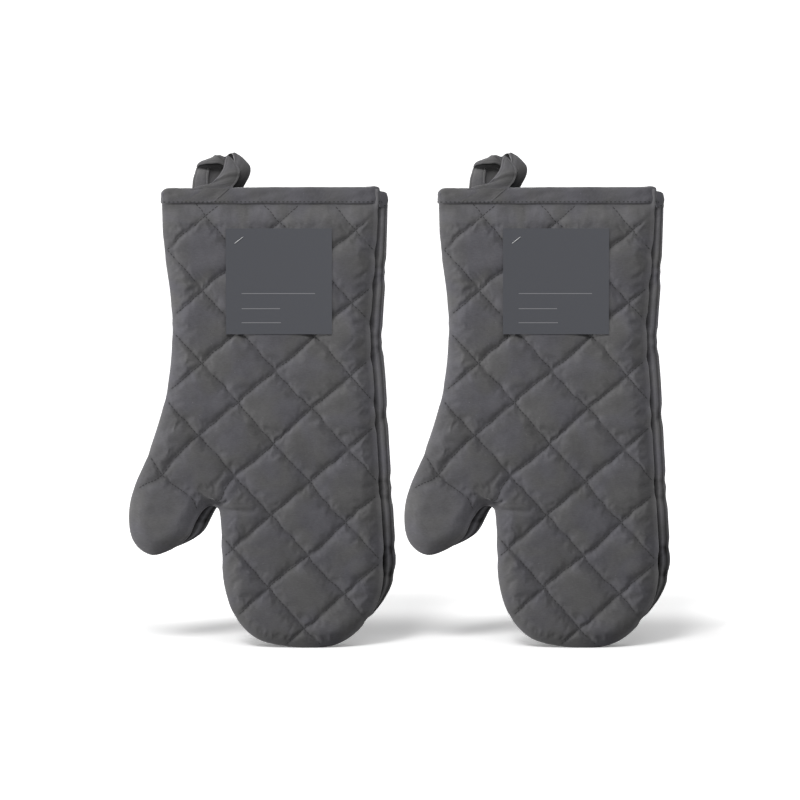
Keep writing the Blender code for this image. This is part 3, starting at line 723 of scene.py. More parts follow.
def cuff_formed(points, step=0.0):
    """The back half's cuff hangs lower, down to where the slope fades out, and its corners are round."""
    fade = rise(points[:, 2], DROP_LOW, PRESS_Z - DROP_LOW)
    moved = points.copy()
    moved[:, 2] -= CUFF_DROP * drop_share(points[:, 1], step) * fade
    behind = smoothstep(points[:, 1] / STEP_DEPTH + 1)
    from_left = points[:, 0] - CUFF_LEFT - CUFF_SHIFT * behind + BINDING_FACE
    from_right = CUFF_RIGHT + CUFF_SHIFT * behind - points[:, 0] + BINDING_FACE
    right_round = RIGHT_ROUND[0] + behind * (RIGHT_ROUND[1] - RIGHT_ROUND[0])
    left_drop = LEFT_ROUND * (1 - quarter_round(from_left / LEFT_ROUND))
    right_drop = right_round * (1 - quarter_round(from_right / right_round))
    tilt = CUFF_TILT * smoothstep((points[:, 0] - CUFF_LEFT) / (CUFF_RIGHT - CUFF_LEFT) * TILT_STEEP)
    bump = tilt + CUFF_BUMP * bell(from_right - BUMP_INSET, BUMP_REACH) * (1 - behind)
    up = np.clip((points[:, 2] - BINDING_TOP + BINDING_HEIGHT) / BINDING_HEIGHT, 0, 1)
    moved[:, 2] -= (left_drop + right_drop - bump) * up
    return moved


def ring_faces(count, first, second):
    """Quads between two rings of points that start at these numbers."""
    i = np.arange(count - 1)
    return np.stack([first + i, first + i + 1, second + i + 1, second + i], axis=1).tolist()


def stood_up(places, depth):
    """Places of the plane as points at one depth."""
    return np.stack([places[:, 0], np.full(len(places), depth), places[:, 1]], axis=1)


def tube_faces(rows, size, base=0, closed=False):
    """Quads round a tube of rows of points, with its two ends where it doesn't close on itself."""
    faces = []
    for k in range(rows if closed else rows - 1):
        low, high = base + k * size, base + (k + 1) % rows * size
        for i in range(size):
            faces.append((low + i, low + (i + 1) % size, high + (i + 1) % size, high + i))
    if not closed:
        faces += [tuple(range(base + k * size, base + (k + 1) * size)) for k in (0, rows - 1)]
    return faces


def fill_triangles(border, inner):
    """Triangles over a border polygon and points inside it, as numbers into both lists."""
    everything = [Vector(p) for p in border] + [Vector(p) for p in inner]
    _, _, faces, sources, _, _ = delaunay_2d_cdt(everything, [], [list(range(len(border)))], 1, 1e-7)
    return [[sources[i][0] for i in face] for face in faces]


def half_edge(side):
    """The outline of one half: the back one lies to the right, with its thumb's tip a little higher."""
    edge = FRONT_EDGE.copy()
    if side > 0:
        raised = THUMB_RAISE * bell(gap_to(edge, THUMB_TIP), THUMB_REACH)
        bulge = THUMB_BULGE * bell(gap_to(edge, BULGE_PLACE), BULGE_REACH)
        edge += FRONT_NORMAL * bulge[:, None]
        edge[:, 0] += shift_at(FRONT_EDGE[:, 1])
        edge[:, 1] += raised
    return edge


def painted_edge_shade_and_highlight(side, count, total):
    """The rolled edge's painted shade, in its groove, thumb and foot, and painted highlight on its sharp
    folds.
    """
    shade = np.zeros(total)
    facing = FRONT_NORMAL[:, 0]
    sharp = SHARP[0] + SHARP[1] * rise(facing, start=0.3, over=0.4)
    groove = np.interp(RING_SHARES, *zip(*GROOVE_SHADE))
    rim = np.interp(RING_SHARES, *zip(*RIM_HIGHLIGHT[side > 0]))
    low = np.zeros(count)
    if side > 0:
        thumb = FRONT_EDGE[:, 0] < CROTCH_X
        foot = rise(facing, start=0.2, over=0.4) * FOOT_SHADE * ~thumb
        low = rise(facing, start=0, over=0.5) * np.where(thumb, THUMB_SHADE, 0)
        low += foot * smoothstep((FOOT_HIGH - FRONT_EDGE[:, 1]) / FOOT_FADE)
    edge = half_edge(side)
    in_groove = smoothstep(facing + GROOVE_TURN)
    low += CROSS_SHADE * bell(off_lines(edge), CROSS_REACH) * thumb_fade(edge) * in_groove
    for k in range(len(RING_SHARES)):
        shade[k * count:(k + 1) * count] = groove[k] * in_groove - rim[k] * sharp + low
    for k, inset in enumerate(RING_INSETS, len(RING_SHARES)):
        shade[k * count:(k + 1) * count] = math.exp(-inset / RIM_FADE) * (low - rim[-1] * sharp)
    return shade


def cover_face(side):
    """The outer face of one half, from the seam over the rolled edge: points, faces, places, what is held."""
    edge = half_edge(side)
    count = len(edge)
    flat_edge = edge.copy()
    edge = notched(edge, side)
    normal = outward(edge)
    rings, depths = [], []
    folded = rise(FRONT_NORMAL[:, 0], start=0.2, over=0.5) if side > 0 else np.zeros(count)
    for share in RING_SHARES:
        rings.append(SEAM + share * (edge - SEAM))
        plain_up = np.interp(share, *zip(*PLAIN_SIDE))
        folded_up = np.interp(share, *zip(*FOLDED_SIDE))
        depths.append(SEAM_Y + (plain_up + folded * (folded_up - plain_up)) * (EDGE_Y - SEAM_Y))
    for inset in RING_INSETS:
        ring = edge - inset * normal
        rings.append(ring)
        depths.append(cover_depth(ring, np.full(count, inset)))
    for ring in rings:
        ring[[0, -1], 1] = CUFF_Z
    top_count = round((rings[-1][-1, 0] - rings[-1][0, 0]) / RING_STEP)
    top = np.stack([np.linspace(rings[-1][-1, 0], rings[-1][0, 0], top_count)[1:-1],
                    np.full(top_count - 2, CUFF_Z)], axis=1)
    border = np.vstack([rings[-1], top])
    places, needle, stitched = lattice()
    keep = within(places, border)
    places, needle, stitched = places[keep], needle[keep], stitched[keep]
    keep = distances(places, np.vstack([border, border[:1]])) > RING_STEP / 2
    places, needle, stitched = places[keep], needle[keep], stitched[keep]
    inset = distances(places, flat_edge)
    top_inset = distances(top, flat_edge)
    depth = cover_depth(places, inset)
    needle = needle & (thumb_fade(places) > 0.5)
    dip = needle * NEEDLE_DIP * smoothstep((PRESS_Z - CUFF_TAPER / 2 - places[:, 1]) / CUFF_TAPER)
    depth = depth - dip * smoothstep(inset / ROLL)
    flat = np.vstack([*rings, top, places])
    moved = np.vstack([*rings, top, wandered(places, inset)])
    depth = np.concatenate([*depths, cover_depth(top, top_inset), depth])
    points = np.stack([moved[:, 0], side * depth, moved[:, 1]], axis=1)
    faces = []
    for k in range(len(rings) - 1):
        faces += ring_faces(count, k * count, (k + 1) * count)
    base = (len(rings) - 1) * count
    faces += [[base + i for i in face] for face in fill_triangles(border, places)]
    held = np.ones(len(points))
    held[-len(places):] = np.where(needle | (inset < ROLL / 2), 1.0, np.where(stitched, HELD_LINE, 0.0))
    held[-len(places):][places[:, 1] > PRESS_Z - CUFF_TAPER] = 1
    return points, faces, flat, held, count


def simulate(points, faces, held, side):
    """Lets the cloth between the stitches swell and crease, and gives back the points."""
    mesh = bpy.data.meshes.new("swelling")
    outside = [f[::-1] for f in faces] if side > 0 else faces
    mesh.from_pydata([tuple(p * SIM_SCALE) for p in points], [], outside)
    obj = placed("swelling", mesh)
    group = obj.vertex_groups.new(name="held")
    for weight in np.unique(held):
        group.add(np.flatnonzero(held == weight).tolist(), float(weight), "REPLACE")
    cloth = obj.modifiers.new("cloth", "CLOTH")
    for key, value in CLOTH.items():
        setattr(cloth.settings, key, value)
    cloth.settings.effector_weights.gravity = 0
    cloth.collision_settings.use_collision = False
    cloth.point_cache.frame_start = 1
    cloth.point_cache.frame_end = SIM_FRAMES
    for step in range(1, SIM_FRAMES + 1):
        bpy.context.scene.frame_set(step)
    graph = bpy.context.evaluated_depsgraph_get()
    result = obj.evaluated_get(graph).to_mesh()
    found = np.empty(len(points) * 3, np.float32)
    result.vertices.foreach_get("co", found)
    bpy.data.objects.remove(obj, do_unlink=True)
    bpy.context.scene.frame_set(1)
    moved = found.reshape(-1, 3) / SIM_SCALE - points
    far = np.linalg.norm(moved, axis=1)
    soft = SIM_CAP * np.tanh(far / SIM_CAP) / np.maximum(far, 1e-9)
    soft *= THUMB_LIVELY + (1 - THUMB_LIVELY) * thumb_fade(points[:, [0, 2]])
    return points + moved * soft[:, None]


def quilted_half(name, side, finish):
    """One half as a closed pad: its swollen quilted face, and the flat face inside that the lining covers."""
    points, faces, flat, held, count = cover_face(side)
    points = simulate(points, faces, held, side)
    high = np.maximum(side * points[:, 1] - CROWN_Y, 0)
    points[:, 1] -= side * (high - CROWN_EASE * np.tanh(high / CROWN_EASE))
    points[:, 2] = np.maximum(points[:, 2], 0)
    inner = SEAM - SEAM_ALLOWANCE * FRONT_NORMAL
    inner[[0, -1], 1] = CUFF_Z
    total = len(points)
    points = np.vstack([points, *(stood_up(inner, side * y) for y in (SEAM_Y, PADDING_Y))])
    # Painted shade along the stitched lines and towards the bottom, a painted highlight on the thumb's tip,
    # and the rolled edge's painted shade and highlight
    shade = np.zeros(total)
    for family in (RISING, FALLING):
        near = bell(off_line(flat, family), LINE_SHADE_REACH) * line_strength(flat, family)
        uneven = LINE_SHADE_EVEN[0] + LINE_SHADE_EVEN[1] * wave(flat, LINE_SHADE_LENGTH, seed=31)
        shade = np.maximum(shade, near * uneven)
    shade *= LINE_SHADE * thumb_fade(flat) * smoothstep((PRESS_Z - flat[:, 1]) / CUFF_TAPER)
    shade += LOW_SHADE * smoothstep((LOW_HIGH - flat[:, 1]) / LOW_FADE) * thumb_fade(flat)
    shade -= THUMB_PAINTED_HIGHLIGHT * (1 - thumb_fade(flat))
    shade += painted_edge_shade_and_highlight(side, count, total)
    shade = np.concatenate([shade, np.zeros(2 * count)])
    flat = np.vstack([flat, inner, inner])
    faces = faces + ring_faces(count, total, 0) + ring_faces(count, total + count, total)
    faces += [[total + count + i for i in face] for face in fill_triangles(inner, [])]
    mesh = mesh_of(name, cuff_formed(points, BINDING_STEP if side > 0 else 0), faces, finish, flat, shade)
    return cleaned(mesh, fill=True)


# Thread

def stitch_tubes(name, runs, finish, thickness=THREAD_RADIUS):
    """Short threads, each along its own few points: a rounded tube from end to end."""
    points, faces = [], []
    turns = np.linspace(0, math.tau, THREAD_SIDES, endpoint=False)
    for run in runs:
        ahead = run[-1] - run[0]
        ahead = ahead / np.linalg.norm(ahead)
        side = np.cross(ahead, THREAD_ASIDE)
        side /= np.linalg.norm(side)
        up = np.cross(side, ahead)
        faces += tube_faces(len(run), THREAD_SIDES, len(points))
        for k, centre in enumerate(run):
            radius = thickness * (THREAD_END if k in (0, len(run) - 1) else 1)
            points += [centre + radius * (math.cos(t) * side + math.sin(t) * up) for t in turns]
    return cleaned(mesh_of(name, np.array(points), faces, finish))


def thread_lifts():
    """Height of a stitch over the cloth, along it: sunk at both ends."""
    share = np.abs(np.linspace(-1, 1, THREAD_POINTS))
    return THREAD_LIFT - (THREAD_LIFT + THREAD_SINK) * share ** 3


def laid(tree, rays):
    """One stitch's points where its rays meet the cloth, in a list that is empty if a ray misses."""
    run = []
    for (start, ahead), lift in zip(rays, thread_lifts()):
        hit = tree.ray_cast(start, ahead)
        if hit[0] is None:
            return []
        run.append(np.array(hit[0]) + lift * np.array(hit[1]))
    return [np.array(run)]


def surface_of(*meshes):
    data = bmesh.new()
    for mesh in meshes:
        data.from_mesh(mesh)
    tree = BVHTree.FromBMesh(data)
    data.free()
    return tree


def quilting_thread(name, pad, side, finish):
    """The stitches of both families of lines, laid on one half's face."""
    tree = surface_of(pad)
    edge = half_edge(side)
    runs = []
    for family, other in ((RISING, FALLING), (FALLING, RISING)):
        runs += family_runs(family, other, edge, tree, side)
    return stitch_tubes(name, runs, finish)


def family_runs(family, other, edge, tree, side):
    """The stitches along one family's lines, in step with the lines that cross them."""
    spacing, phase, slope = family[:3]
    pitch = 2 * other[0] / STEPS_PER_CELL
    along = np.array([math.cos(slope), math.sin(slope)])
    across = np.array([-math.sin(slope), math.cos(slope)])
    other_across = np.array([-math.sin(other[2]), math.cos(other[2])])
    reach = round(2 * MITT_LENGTH / pitch)
    steps = np.linspace(-0.5, 0.5, THREAD_POINTS)
    into = Vector((0, -side, 0))
    runs = []
    for line in range(-STITCH_LINES, STITCH_LINES + 1):
        height = phase + spacing * line
        start = (other[1] - height * (across @ other_across)) / (along @ other_across)
        centres = start + pitch * (np.arange(-reach, reach) + 0.5)
        places = height * across + centres[:, None] * along
        places = places[within(places, edge)]
        if not len(places):
            continue
        inset = distances(places, edge)
        clear = (inset > STITCH_INSET) & (thumb_fade(places) > 0.5)
        places = places[clear & (places[:, 1] < PRESS_Z - MM)]
        sunk = wave(places, SUNK_LENGTH, seed=51) < SUNK_LEVEL
        for place in places[(line_strength(places, family) > LEAST_STRENGTH) & ~sunk]:
            spots = place + steps[:, None] * STITCH * along
            spots = wandered(spots, distances(spots, edge))
            runs += laid(tree, [(Vector((x, side * RAY_FROM, z)), into) for x, z in spots])
    return runs


# The cuff's binding

def cuff_plan(steps=8):
    """The cuff from above, as a closed line, with the back half's step to the right."""
    left, right = CUFF_LEFT + CUFF_PRESS, CUFF_RIGHT - 2 * CUFF_PRESS
    near, far = CUFF_CORNER - CUFF_Y, CUFF_Y - CUFF_CORNER

    def arc(x, y, quarter):
        turns = (quarter + np.linspace(0, 1, steps)) * math.pi / 2
        return [(x + CUFF_CORNER * math.cos(t), y + CUFF_CORNER * math.sin(t)) for t in turns]

    plan = arc(left + CUFF_CORNER, near, 2)
    plan += arc(right - CUFF_CORNER, near, 3)
    plan += [(right + x * MM, y * MM) for x, y in STEP_NEAR]
    plan += [(right + CUFF_SHIFT + x * MM, y * MM) for x, y in STEP_FAR]
    plan += arc(right + CUFF_SHIFT - CUFF_CORNER, far, 0)
    plan += arc(left + CUFF_SHIFT + CUFF_CORNER, far, 1)
    plan += [(left + CUFF_SHIFT * 5 / 6, far / 3), (left + CUFF_SHIFT / 3, near / 6)]
    plan = np.array(plan)
    closed = np.vstack([plan, plan[:1]])
    return smoothed(resampled(closed, PLAN_POINTS)[:-1], PLAN_SMOOTHING)


def binding_section():
    """Round the folded strip: (share from the outer plan to the mouth, distance out from it, height)."""
    low = BINDING_TOP - BINDING_HEIGHT
    section = [(0.0, BINDING_BACK, low + 0.5 * MM), (0.0, BINDING_BACK + 0.2 * MM, low + 0.1 * MM)]
    section += [(0.0, BINDING_FACE - 0.4 * MM, low), (0.0, BINDING_FACE, low + 0.5 * MM)]
    for up in np.linspace(0.12, 0.8, 8):
        swell = BINDING_SWELL * math.sin(math.pi * up)
        section.append((0.0, BINDING_FACE + swell, low + up * BINDING_HEIGHT))
    for turn in np.linspace(0.1, 0.9, 9):
        across = (1 - math.cos(math.pi * turn)) / 2
        height = BINDING_TOP - BINDING_FOLD + BINDING_FOLD * math.sin(math.pi * turn) ** 0.7
        section.append((across, BINDING_FACE, height))
    for down in np.linspace(0.2, 1, 6):
        section.append((1.0, BINDING_FACE, BINDING_TOP - down * BINDING_HEIGHT))
    section += [(0.93, BINDING_FACE, low), (0.93, BINDING_FACE, CUFF_Z + BINDING_BACK)]
    section += [(0.07, BINDING_BACK, CUFF_Z + BINDING_BACK)]
    return section


def on_bias(along, across):
    """Places on cloth that is cut at 45 degrees."""
    return np.stack([along + across, along - across], axis=1) * math.sqrt(0.5)


def cuff_binding(name, finish):
    """The strip folded over the cuff's edge, all round, down into the mouth."""
    plan = cuff_plan()
    normal = outward(plan, closed=True)
    count = len(plan)
    around = travelled_along(plan)
    left, right = plan[:, 0].min(), plan[:, 0].max()
    middle = (left + right) / 2
    mouth = plan.copy()
    narrow = (CUFF_RIGHT - CUFF_LEFT - 2 * (SEAM_INSET + SEAM_ALLOWANCE) - BACK_SHIFT) / (right - left)
    mouth[:, 0] = middle + (plan[:, 0] - middle) * narrow
    mouth[:, 1] *= MOUTH_HALF / BINDING_Y
    rows, flats = [], []
    travelled, last = 0, None
    for inward, out, height in binding_section():
        outer = plan + normal * out
        row = outer + inward * (mouth - outer)
        places = np.stack([around, np.full(count, height * 2)], axis=1)
        ripple = BINDING_RIPPLE * wave(places, RIPPLE_LENGTH, seed=8)
        row = smoothed(row + normal * (ripple * (1 - inward))[:, None], OFFSET_SMOOTHING)
        if last is not None:
            travelled += math.hypot((inward - last[0]) * CUFF_Y, height - last[1])
        last = (inward, height)
        level = np.stack([row[:, 0], plan[:, 1], height + ripple * RIPPLE_RISE], axis=1)
        rows.append(np.stack([row[:, 0], row[:, 1], cuff_formed(level, BINDING_STEP)[:, 2]], axis=1))
        flats.append(on_bias(travelled, around))
    faces = tube_faces(len(rows), count, closed=True)
    return cleaned(mesh_of(name, np.vstack(rows), faces, finish, np.vstack(flats)))


def binding_thread(name, cloths, finish):
    """The edge stitches, a little above the strip's lower edge, all round the outside."""
    tree = surface_of(*cloths)
    plan = cuff_plan()
    closed = np.vstack([plan, plan[:1]])
    count = round(length_of(closed) / BINDING_PITCH)
    fine = resampled(closed, count * PITCH_PARTS + 1)
    normal = outward(fine[:-1], closed=True)
    height = BINDING_TOP - BINDING_HEIGHT + EDGE_STITCHES_UP
    runs = []
    for start in range(0, count * PITCH_PARTS, PITCH_PARTS):
        rays = []
        for i in range(start, start + THREAD_POINTS):
            at = cuff_formed(np.array([[*(fine[i] + normal[i] * BINDING_FACE), height]]), BINDING_STEP)[0]
            out = Vector((*normal[i], 0))
            rays.append((Vector(at) + out * 3 * MM, -out))
        if fine[start, 0] < CUFF_RIGHT + CUFF_SHIFT - 2 * MM:
            runs += laid(tree, rays)
    return stitch_tubes(name, runs, finish)


# The loop

def strip_mesh(name, left, right, finish, thickness, curl=0.0, shade=(0, 0, 0), painted_fold_highlight=0.1, ridge=()):
    """A flat strip of cloth with rounded folds along both edges, between two lines of points.

    The shade is painted shade at its start, at its end, and from its left edge to its right, mostly on the
    faces that look to the front; painted_fold_highlight is how strong the painted highlight on its folds is.
    """
    middle, spread = (left + right) / 2, (right - left) / 2
    across = np.cross(np.gradient(middle, axis=0), spread)
    across /= np.linalg.norm(across, axis=1)[:, None]
    half_width = np.linalg.norm(spread, axis=1)
    travelled = travelled_along(middle)
    share = travelled / travelled[-1]
    thin = np.minimum(1, half_width / (2 * thickness))
    along = shade[0] + (shade[1] - shade[0]) * smoothstep(share)
    hem_inset, hem_reach, hem_depth = HEM
    rows, flats, shades = [], [], []
    for t in np.linspace(0, math.tau, STRIP_SIDES, endpoint=False):
        side, high = (np.sign(turn) * abs(turn) ** power
                      for turn, power in zip((math.cos(t), math.sin(t)), STRIP_ROUND))
        place = side * half_width
        from_edge = half_width * (1 - abs(side))
        groove = hem_depth * bell(from_edge - hem_inset, hem_reach)
        lift = thickness / 2 * thin * high * (1 - groove) + curl * (side * side - CURL_MIDDLE)
        # The crease behind the ridge gets painted shade
        crease = 0
        if ridge:
            line, behind, dark = ridge
            past = share - np.interp(side, *zip(*line))
            lift = lift + STRIP_RIDGE * bell(past, RIDGE_REACH)
            crease = dark * bell(past - behind, RIDGE_REACH)
        waves = wave(np.stack([travelled, place * 0.8], axis=1), STRIP_BUMP_LENGTH, seed=21)
        rows.append(middle + side * spread + (lift + STRIP_BUMP * thin * waves)[:, None] * across)
        flats.append(on_bias(travelled, place))
        # Painted shade mostly on the faces that look to the front, and a painted highlight along both folds
        front = 0.35 + 0.65 * np.clip(0.5 - 1.5 * high * across[:, 1], 0, 1)
        dark = np.clip(along + shade[2] * side + crease, *SHADE_LIMITS)
        shades.append(dark * front - painted_fold_highlight * np.exp(-from_edge / FOLD_HIGHLIGHT_REACH))
    points = np.stack(rows, axis=1).reshape(-1, 3)
    flat = np.stack(flats, axis=1).reshape(-1, 2)
    shades = np.stack(shades, axis=1).reshape(-1)
    return cleaned(mesh_of(name, points, tube_faces(len(middle), STRIP_SIDES), finish, flat, shades))


def strip_edges(places):
    """The two edges of a strip of the loop as dense lines, from its table."""
    start = np.array([CUFF_LEFT + LOOP_LEFT, 0, BINDING_TOP])
    edges = []
    for edge in np.split(np.array(places), 2, axis=1):
        across, up, deep = edge.T * MM
        up = up - deep * math.sin(CAMERA_RISE) + LOOP_RAISE
        edges.append(bezier_line(start + np.stack([across, deep, up], axis=1), 6))
    return edges


def loop_tail(name, finish):
    """The strip's end, sewn down on the front of the binding."""
    start = CUFF_LEFT + TAIL_LEFT
    deep = -BINDING_Y - TAIL_THICKNESS * TAIL_SUNK
    top_left, top_right, low_right, low_left = (
        np.array([start + a * TAIL_SPAN, deep, BINDING_TOP - d * BINDING_HEIGHT]) for a, d in TAIL_SHARES)
    share = np.linspace(0, 1, TAIL_ROWS)[:, None]
    left = low_left + share * (top_left - low_left)
    right = low_right + share * (top_right - low_right)
    left[:, 1] += TAIL_THICKNESS * TAIL_OUT
    return strip_mesh(name, left, right, finish, TAIL_THICKNESS)


# The card and its pin

def card_mesh(name, finish):
    """The card as a thin board that bows a little towards the mitt at its middle."""
    low, high = (corner - STANDS["left"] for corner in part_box("left_header_card"))
    steps, sheet = CARD_STEPS, CARD_STEPS ** 2
    x = np.linspace(low.x, high.x, steps)
    z = np.linspace(low.z, high.z, steps)
    gx, gz = np.meshgrid(x, z, indexing="ij")
    bow = CARD_BOW * ((gx - (low.x + high.x) / 2) / (high.x - low.x) * 2) ** 2
    points = np.vstack([np.stack([gx, y - bow, gz], axis=2).reshape(-1, 3) for y in (low.y, high.y)])
    faces = []
    for a in (i * steps + j for i in range(steps - 1) for j in range(steps - 1)):
        b = a + sheet
        faces += [(a, a + steps, a + steps + 1, a + 1), (b, b + 1, b + steps + 1, b + steps)]
    rim = [i * steps for i in range(steps)] + [(steps - 1) * steps + j for j in range(1, steps)]
    rim += [i * steps + steps - 1 for i in range(steps - 2, -1, -1)] + list(range(steps - 2, 0, -1))
    faces += [(a, b, b + sheet, a + sheet) for a, b in zip(rim, rim[1:] + rim[:1])]
    return cleaned(mesh_of(name, points, faces, finish, points[:, [0, 2]]), sharp=40)


def pin_mesh(name, finish):
    """The pin's shaft, with a slanting bar at each end."""
    low, high = (corner - STANDS["left"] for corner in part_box("left_tag_pin"))
    reach = np.array([math.cos(PIN_SLOPE), 0, math.sin(PIN_SLOPE)]) * PIN_HALF
    x, _, z = (np.array(low) + np.array(high)) / 2 + PIN_SHIFT
    start, end = low.y + PIN_INSET, high.y - PIN_INSET
    shares = np.linspace(-1, 1, PIN_POINTS)[:, None]
    runs = [np.array([x, y, z]) + shares * reach for y in (start, end)]
    runs.append(np.array([[x, y, z] for y in np.linspace(start, end, PIN_POINTS)]))
    return stitch_tubes(name, runs, finish, PIN_RADIUS)


# Materials

def node_tree(name):
    made = bpy.data.materials.new(name)
    made.use_nodes = True
    tree = made.node_tree
    return made, tree, tree.nodes["Principled BSDF"]


def plugged(tree, node, inputs):
    """The node with its sockets linked or set."""
    for key, value in inputs:
        if isinstance(value, bpy.types.NodeSocket):
            tree.links.new(value, node.inputs[key])
        else:
            node.inputs[key].default_value = value
    return node


def linked(tree, kind, inputs=(), **settings):
    """A new node, with settings on it and sockets linked or set."""
    node = tree.nodes.new(kind)
    for key, value in settings.items():
        setattr(node, key, value)
    return plugged(tree, node, inputs)


def maths(tree, operation, *values):
    return linked(tree, "ShaderNodeMath", enumerate(values), operation=operation).outputs[0]


def ranged(tree, value, low, high, start=0.0, end=1.0, **settings):
    """The value, taken from between start and end to between low and high."""
    sockets = [("Value", value), ("From Min", start), ("From Max", end), ("To Min", low), ("To Max", high)]
    return linked(tree, "ShaderNodeMapRange", sockets, **settings).outputs[0]


def noise(tree, place, scale, detail, **more):
    sockets = [(0, place), ("Scale", scale), ("Detail", detail), *more.items()]
    return linked(tree, "ShaderNodeTexNoise", sockets).outputs[0]


def stretched(tree, place, scale, turn=(0, 0, 0)):
    return linked(tree, "ShaderNodeMapping", [(0, place), (2, turn), (3, scale)]).outputs[0]


def scaled(tree, colour, share):
    return linked(tree, "ShaderNodeVectorMath", [(0, colour), ("Scale", share)], operation="SCALE").outputs[0]


def bumped(tree, height, strength, distance):
    sockets = [("Height", height), ("Strength", strength), ("Distance", distance)]
    return linked(tree, "ShaderNodeBump", sockets).outputs[0]


def stored(tree, name, output):
    """What mesh_of keeps at each point under that name."""
    return linked(tree, "ShaderNodeAttribute", attribute_name=name).outputs[output]


def split(tree, place):
    return linked(tree, "ShaderNodeSeparateXYZ", [(0, place)]).outputs


def away_from(tree, value, middle):
    return maths(tree, "ABSOLUTE", maths(tree, "SUBTRACT", value, middle))


def cotton(name, colour, sheen=0.3, bump=0.8):
    """Matt plain-weave cotton: crossed threads of uneven thickness, a little fluff, clouds of colour."""
    made, tree, shader = node_tree(name)
    place = stored(tree, "cloth_place", "Vector")
    parts = split(tree, place)
    waves = [maths(tree, "SINE", maths(tree, "MULTIPLY", parts[axis], math.tau / WEAVE)) for axis in (0, 1)]
    height = maths(tree, "MULTIPLY", *waves)
    for stretch, strength in THREAD_NOISES:
        threads = noise(tree, stretched(tree, place, stretch), 1.0, 3.0)
        height = maths(tree, "ADD", height, maths(tree, "MULTIPLY", threads, strength))
    clouds = noise(tree, place, CLOUD_SCALE, 6.0, Roughness=0.62)
    streaks = noise(tree, stretched(tree, place, STREAKS), 1.0, 2.0)
    mixed = maths(tree, "ADD", clouds, maths(tree, "MULTIPLY", streaks, STREAK_SHARE))
    # The painted shade and highlight that the mesh keeps at its points darken or lighten the colour
    light = maths(tree, "SUBTRACT", 1.0, stored(tree, "painted_shade_and_highlight", "Fac"))
    tone = maths(tree, "MULTIPLY", ranged(tree, mixed, 0.78, 1.22, start=0.45, end=0.95), light)
    lint = noise(tree, stretched(tree, place, LINT, LINT_TURN), 1.0, 1.0)
    tone = maths(tree, "MULTIPLY", tone, ranged(tree, lint, 1.0, 1.5, start=0.76, end=0.82))
    hue = ranged(tree, noise(tree, place, HUE_SCALE, 2.0, Distortion=0.6), 0.0, 1.0, start=0.38, end=0.62)
    warm, cool = ((*(c * t for c, t in zip(colour, tint)), 1) for tint in (WARM_TINT, COOL_TINT))
    tinted = linked(tree, "ShaderNodeMix", [(0, hue), (6, warm), (7, cool)], data_type="RGBA").outputs[2]
    plugged(tree, shader, [
        ("Base Color", scaled(tree, tinted, tone)), ("Normal", bumped(tree, height, bump, WEAVE_DEPTH)),
        ("Roughness", 0.9), ("Specular IOR Level", 0.1), ("Sheen Weight", sheen), ("Sheen Roughness", 0.45)])
    return made


def plain(name, colour, roughness, fleck=0.04, scale=900.0, bump=0.1, gloss=0.5):
    """A smooth material with fine grain in its colour and surface."""
    made, tree, shader = node_tree(name)
    grain = noise(tree, linked(tree, "ShaderNodeTexCoord").outputs["Object"], scale, 3.0)
    plugged(tree, shader, [
        ("Base Color", scaled(tree, colour, ranged(tree, grain, 1 - fleck, 1 + fleck))),
        ("Normal", bumped(tree, grain, bump, GRAIN_DEPTH)),
        ("Roughness", roughness), ("Specular IOR Level", gloss)])
    return made


def print_rules(board):
    """Three thin pale rules across the card's lower half, where the print would be."""
    low, high = (corner - STANDS["left"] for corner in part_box("left_header_card"))
    tree = board.node_tree
    parts = split(tree, stored(tree, "cloth_place", "Vector"))
    total = None
    for start, end, up in RULE_SHARES:
        left, right = (low.x + share * (high.x - low.x) for share in (start, end))
        places = ((left + right) / 2, (right - left) / 2), (low.z + up * (high.z - low.z), RULE_WIDTH / 2)
        rule = maths(tree, "MULTIPLY", *(maths(tree, "LESS_THAN", away_from(tree, part, centre), half)
                                         for part, (centre, half) in zip(parts, places)))
        total = maths(tree, "ADD", total, rule) if total else rule
    colour = tree.nodes["Principled BSDF"].inputs["Base Color"]
    sockets = [(0, total), (6, colour.links[0].from_socket), (7, (*PRINT, 1))]
    mix = linked(tree, "ShaderNodeMix", sockets, data_type="RGBA")
    tree.links.new(mix.outputs[2], colour)


# Stage

def seen_rays(tree):
    """1 for the rays that show the background: from the camera, and by way of gloss or glass."""
    path = linked(tree, "ShaderNodeLightPath").outputs
    glossy = maths(tree, "MAXIMUM", path["Is Glossy Ray"], path["Is Transmission Ray"])
    return maths(tree, "MAXIMUM", path["Is Camera Ray"], glossy)


def floor():
    """A white floor, whose colour for seen rays rises away from the mitts, so that shadows fade."""
    corners = [(x * FLOOR_REACH, y * FLOOR_REACH, 0) for x, y in ((-1, -1), (1, -1), (1, 1), (-1, 1))]
    mesh = bpy.data.meshes.new("floor")
    mesh.from_pydata(corners, [], [(0, 1, 2, 3)])
    made, tree, _ = node_tree("white_floor")
    tree.nodes.clear()
    parts = split(tree, linked(tree, "ShaderNodeTexCoord").outputs["Object"])
    shares = [ranged(tree, away_from(tree, part, middle), 0.0, 1.0, start, start + reach,
                     interpolation_type="SMOOTHSTEP")
              for part, (middle, start, reach) in zip(parts, FLOOR_FADES)]
    shown = ranged(tree, maths(tree, "MAXIMUM", *shares), *FLOOR_TONE)
    tone = ranged(tree, seen_rays(tree), FLOOR_GREY, shown)
    matt = linked(tree, "ShaderNodeBsdfDiffuse", [("Color", tone)])
    linked(tree, "ShaderNodeOutputMaterial", [(0, matt.outputs[0])])
    mesh.materials.append(made)
    obj = placed("floor", mesh)


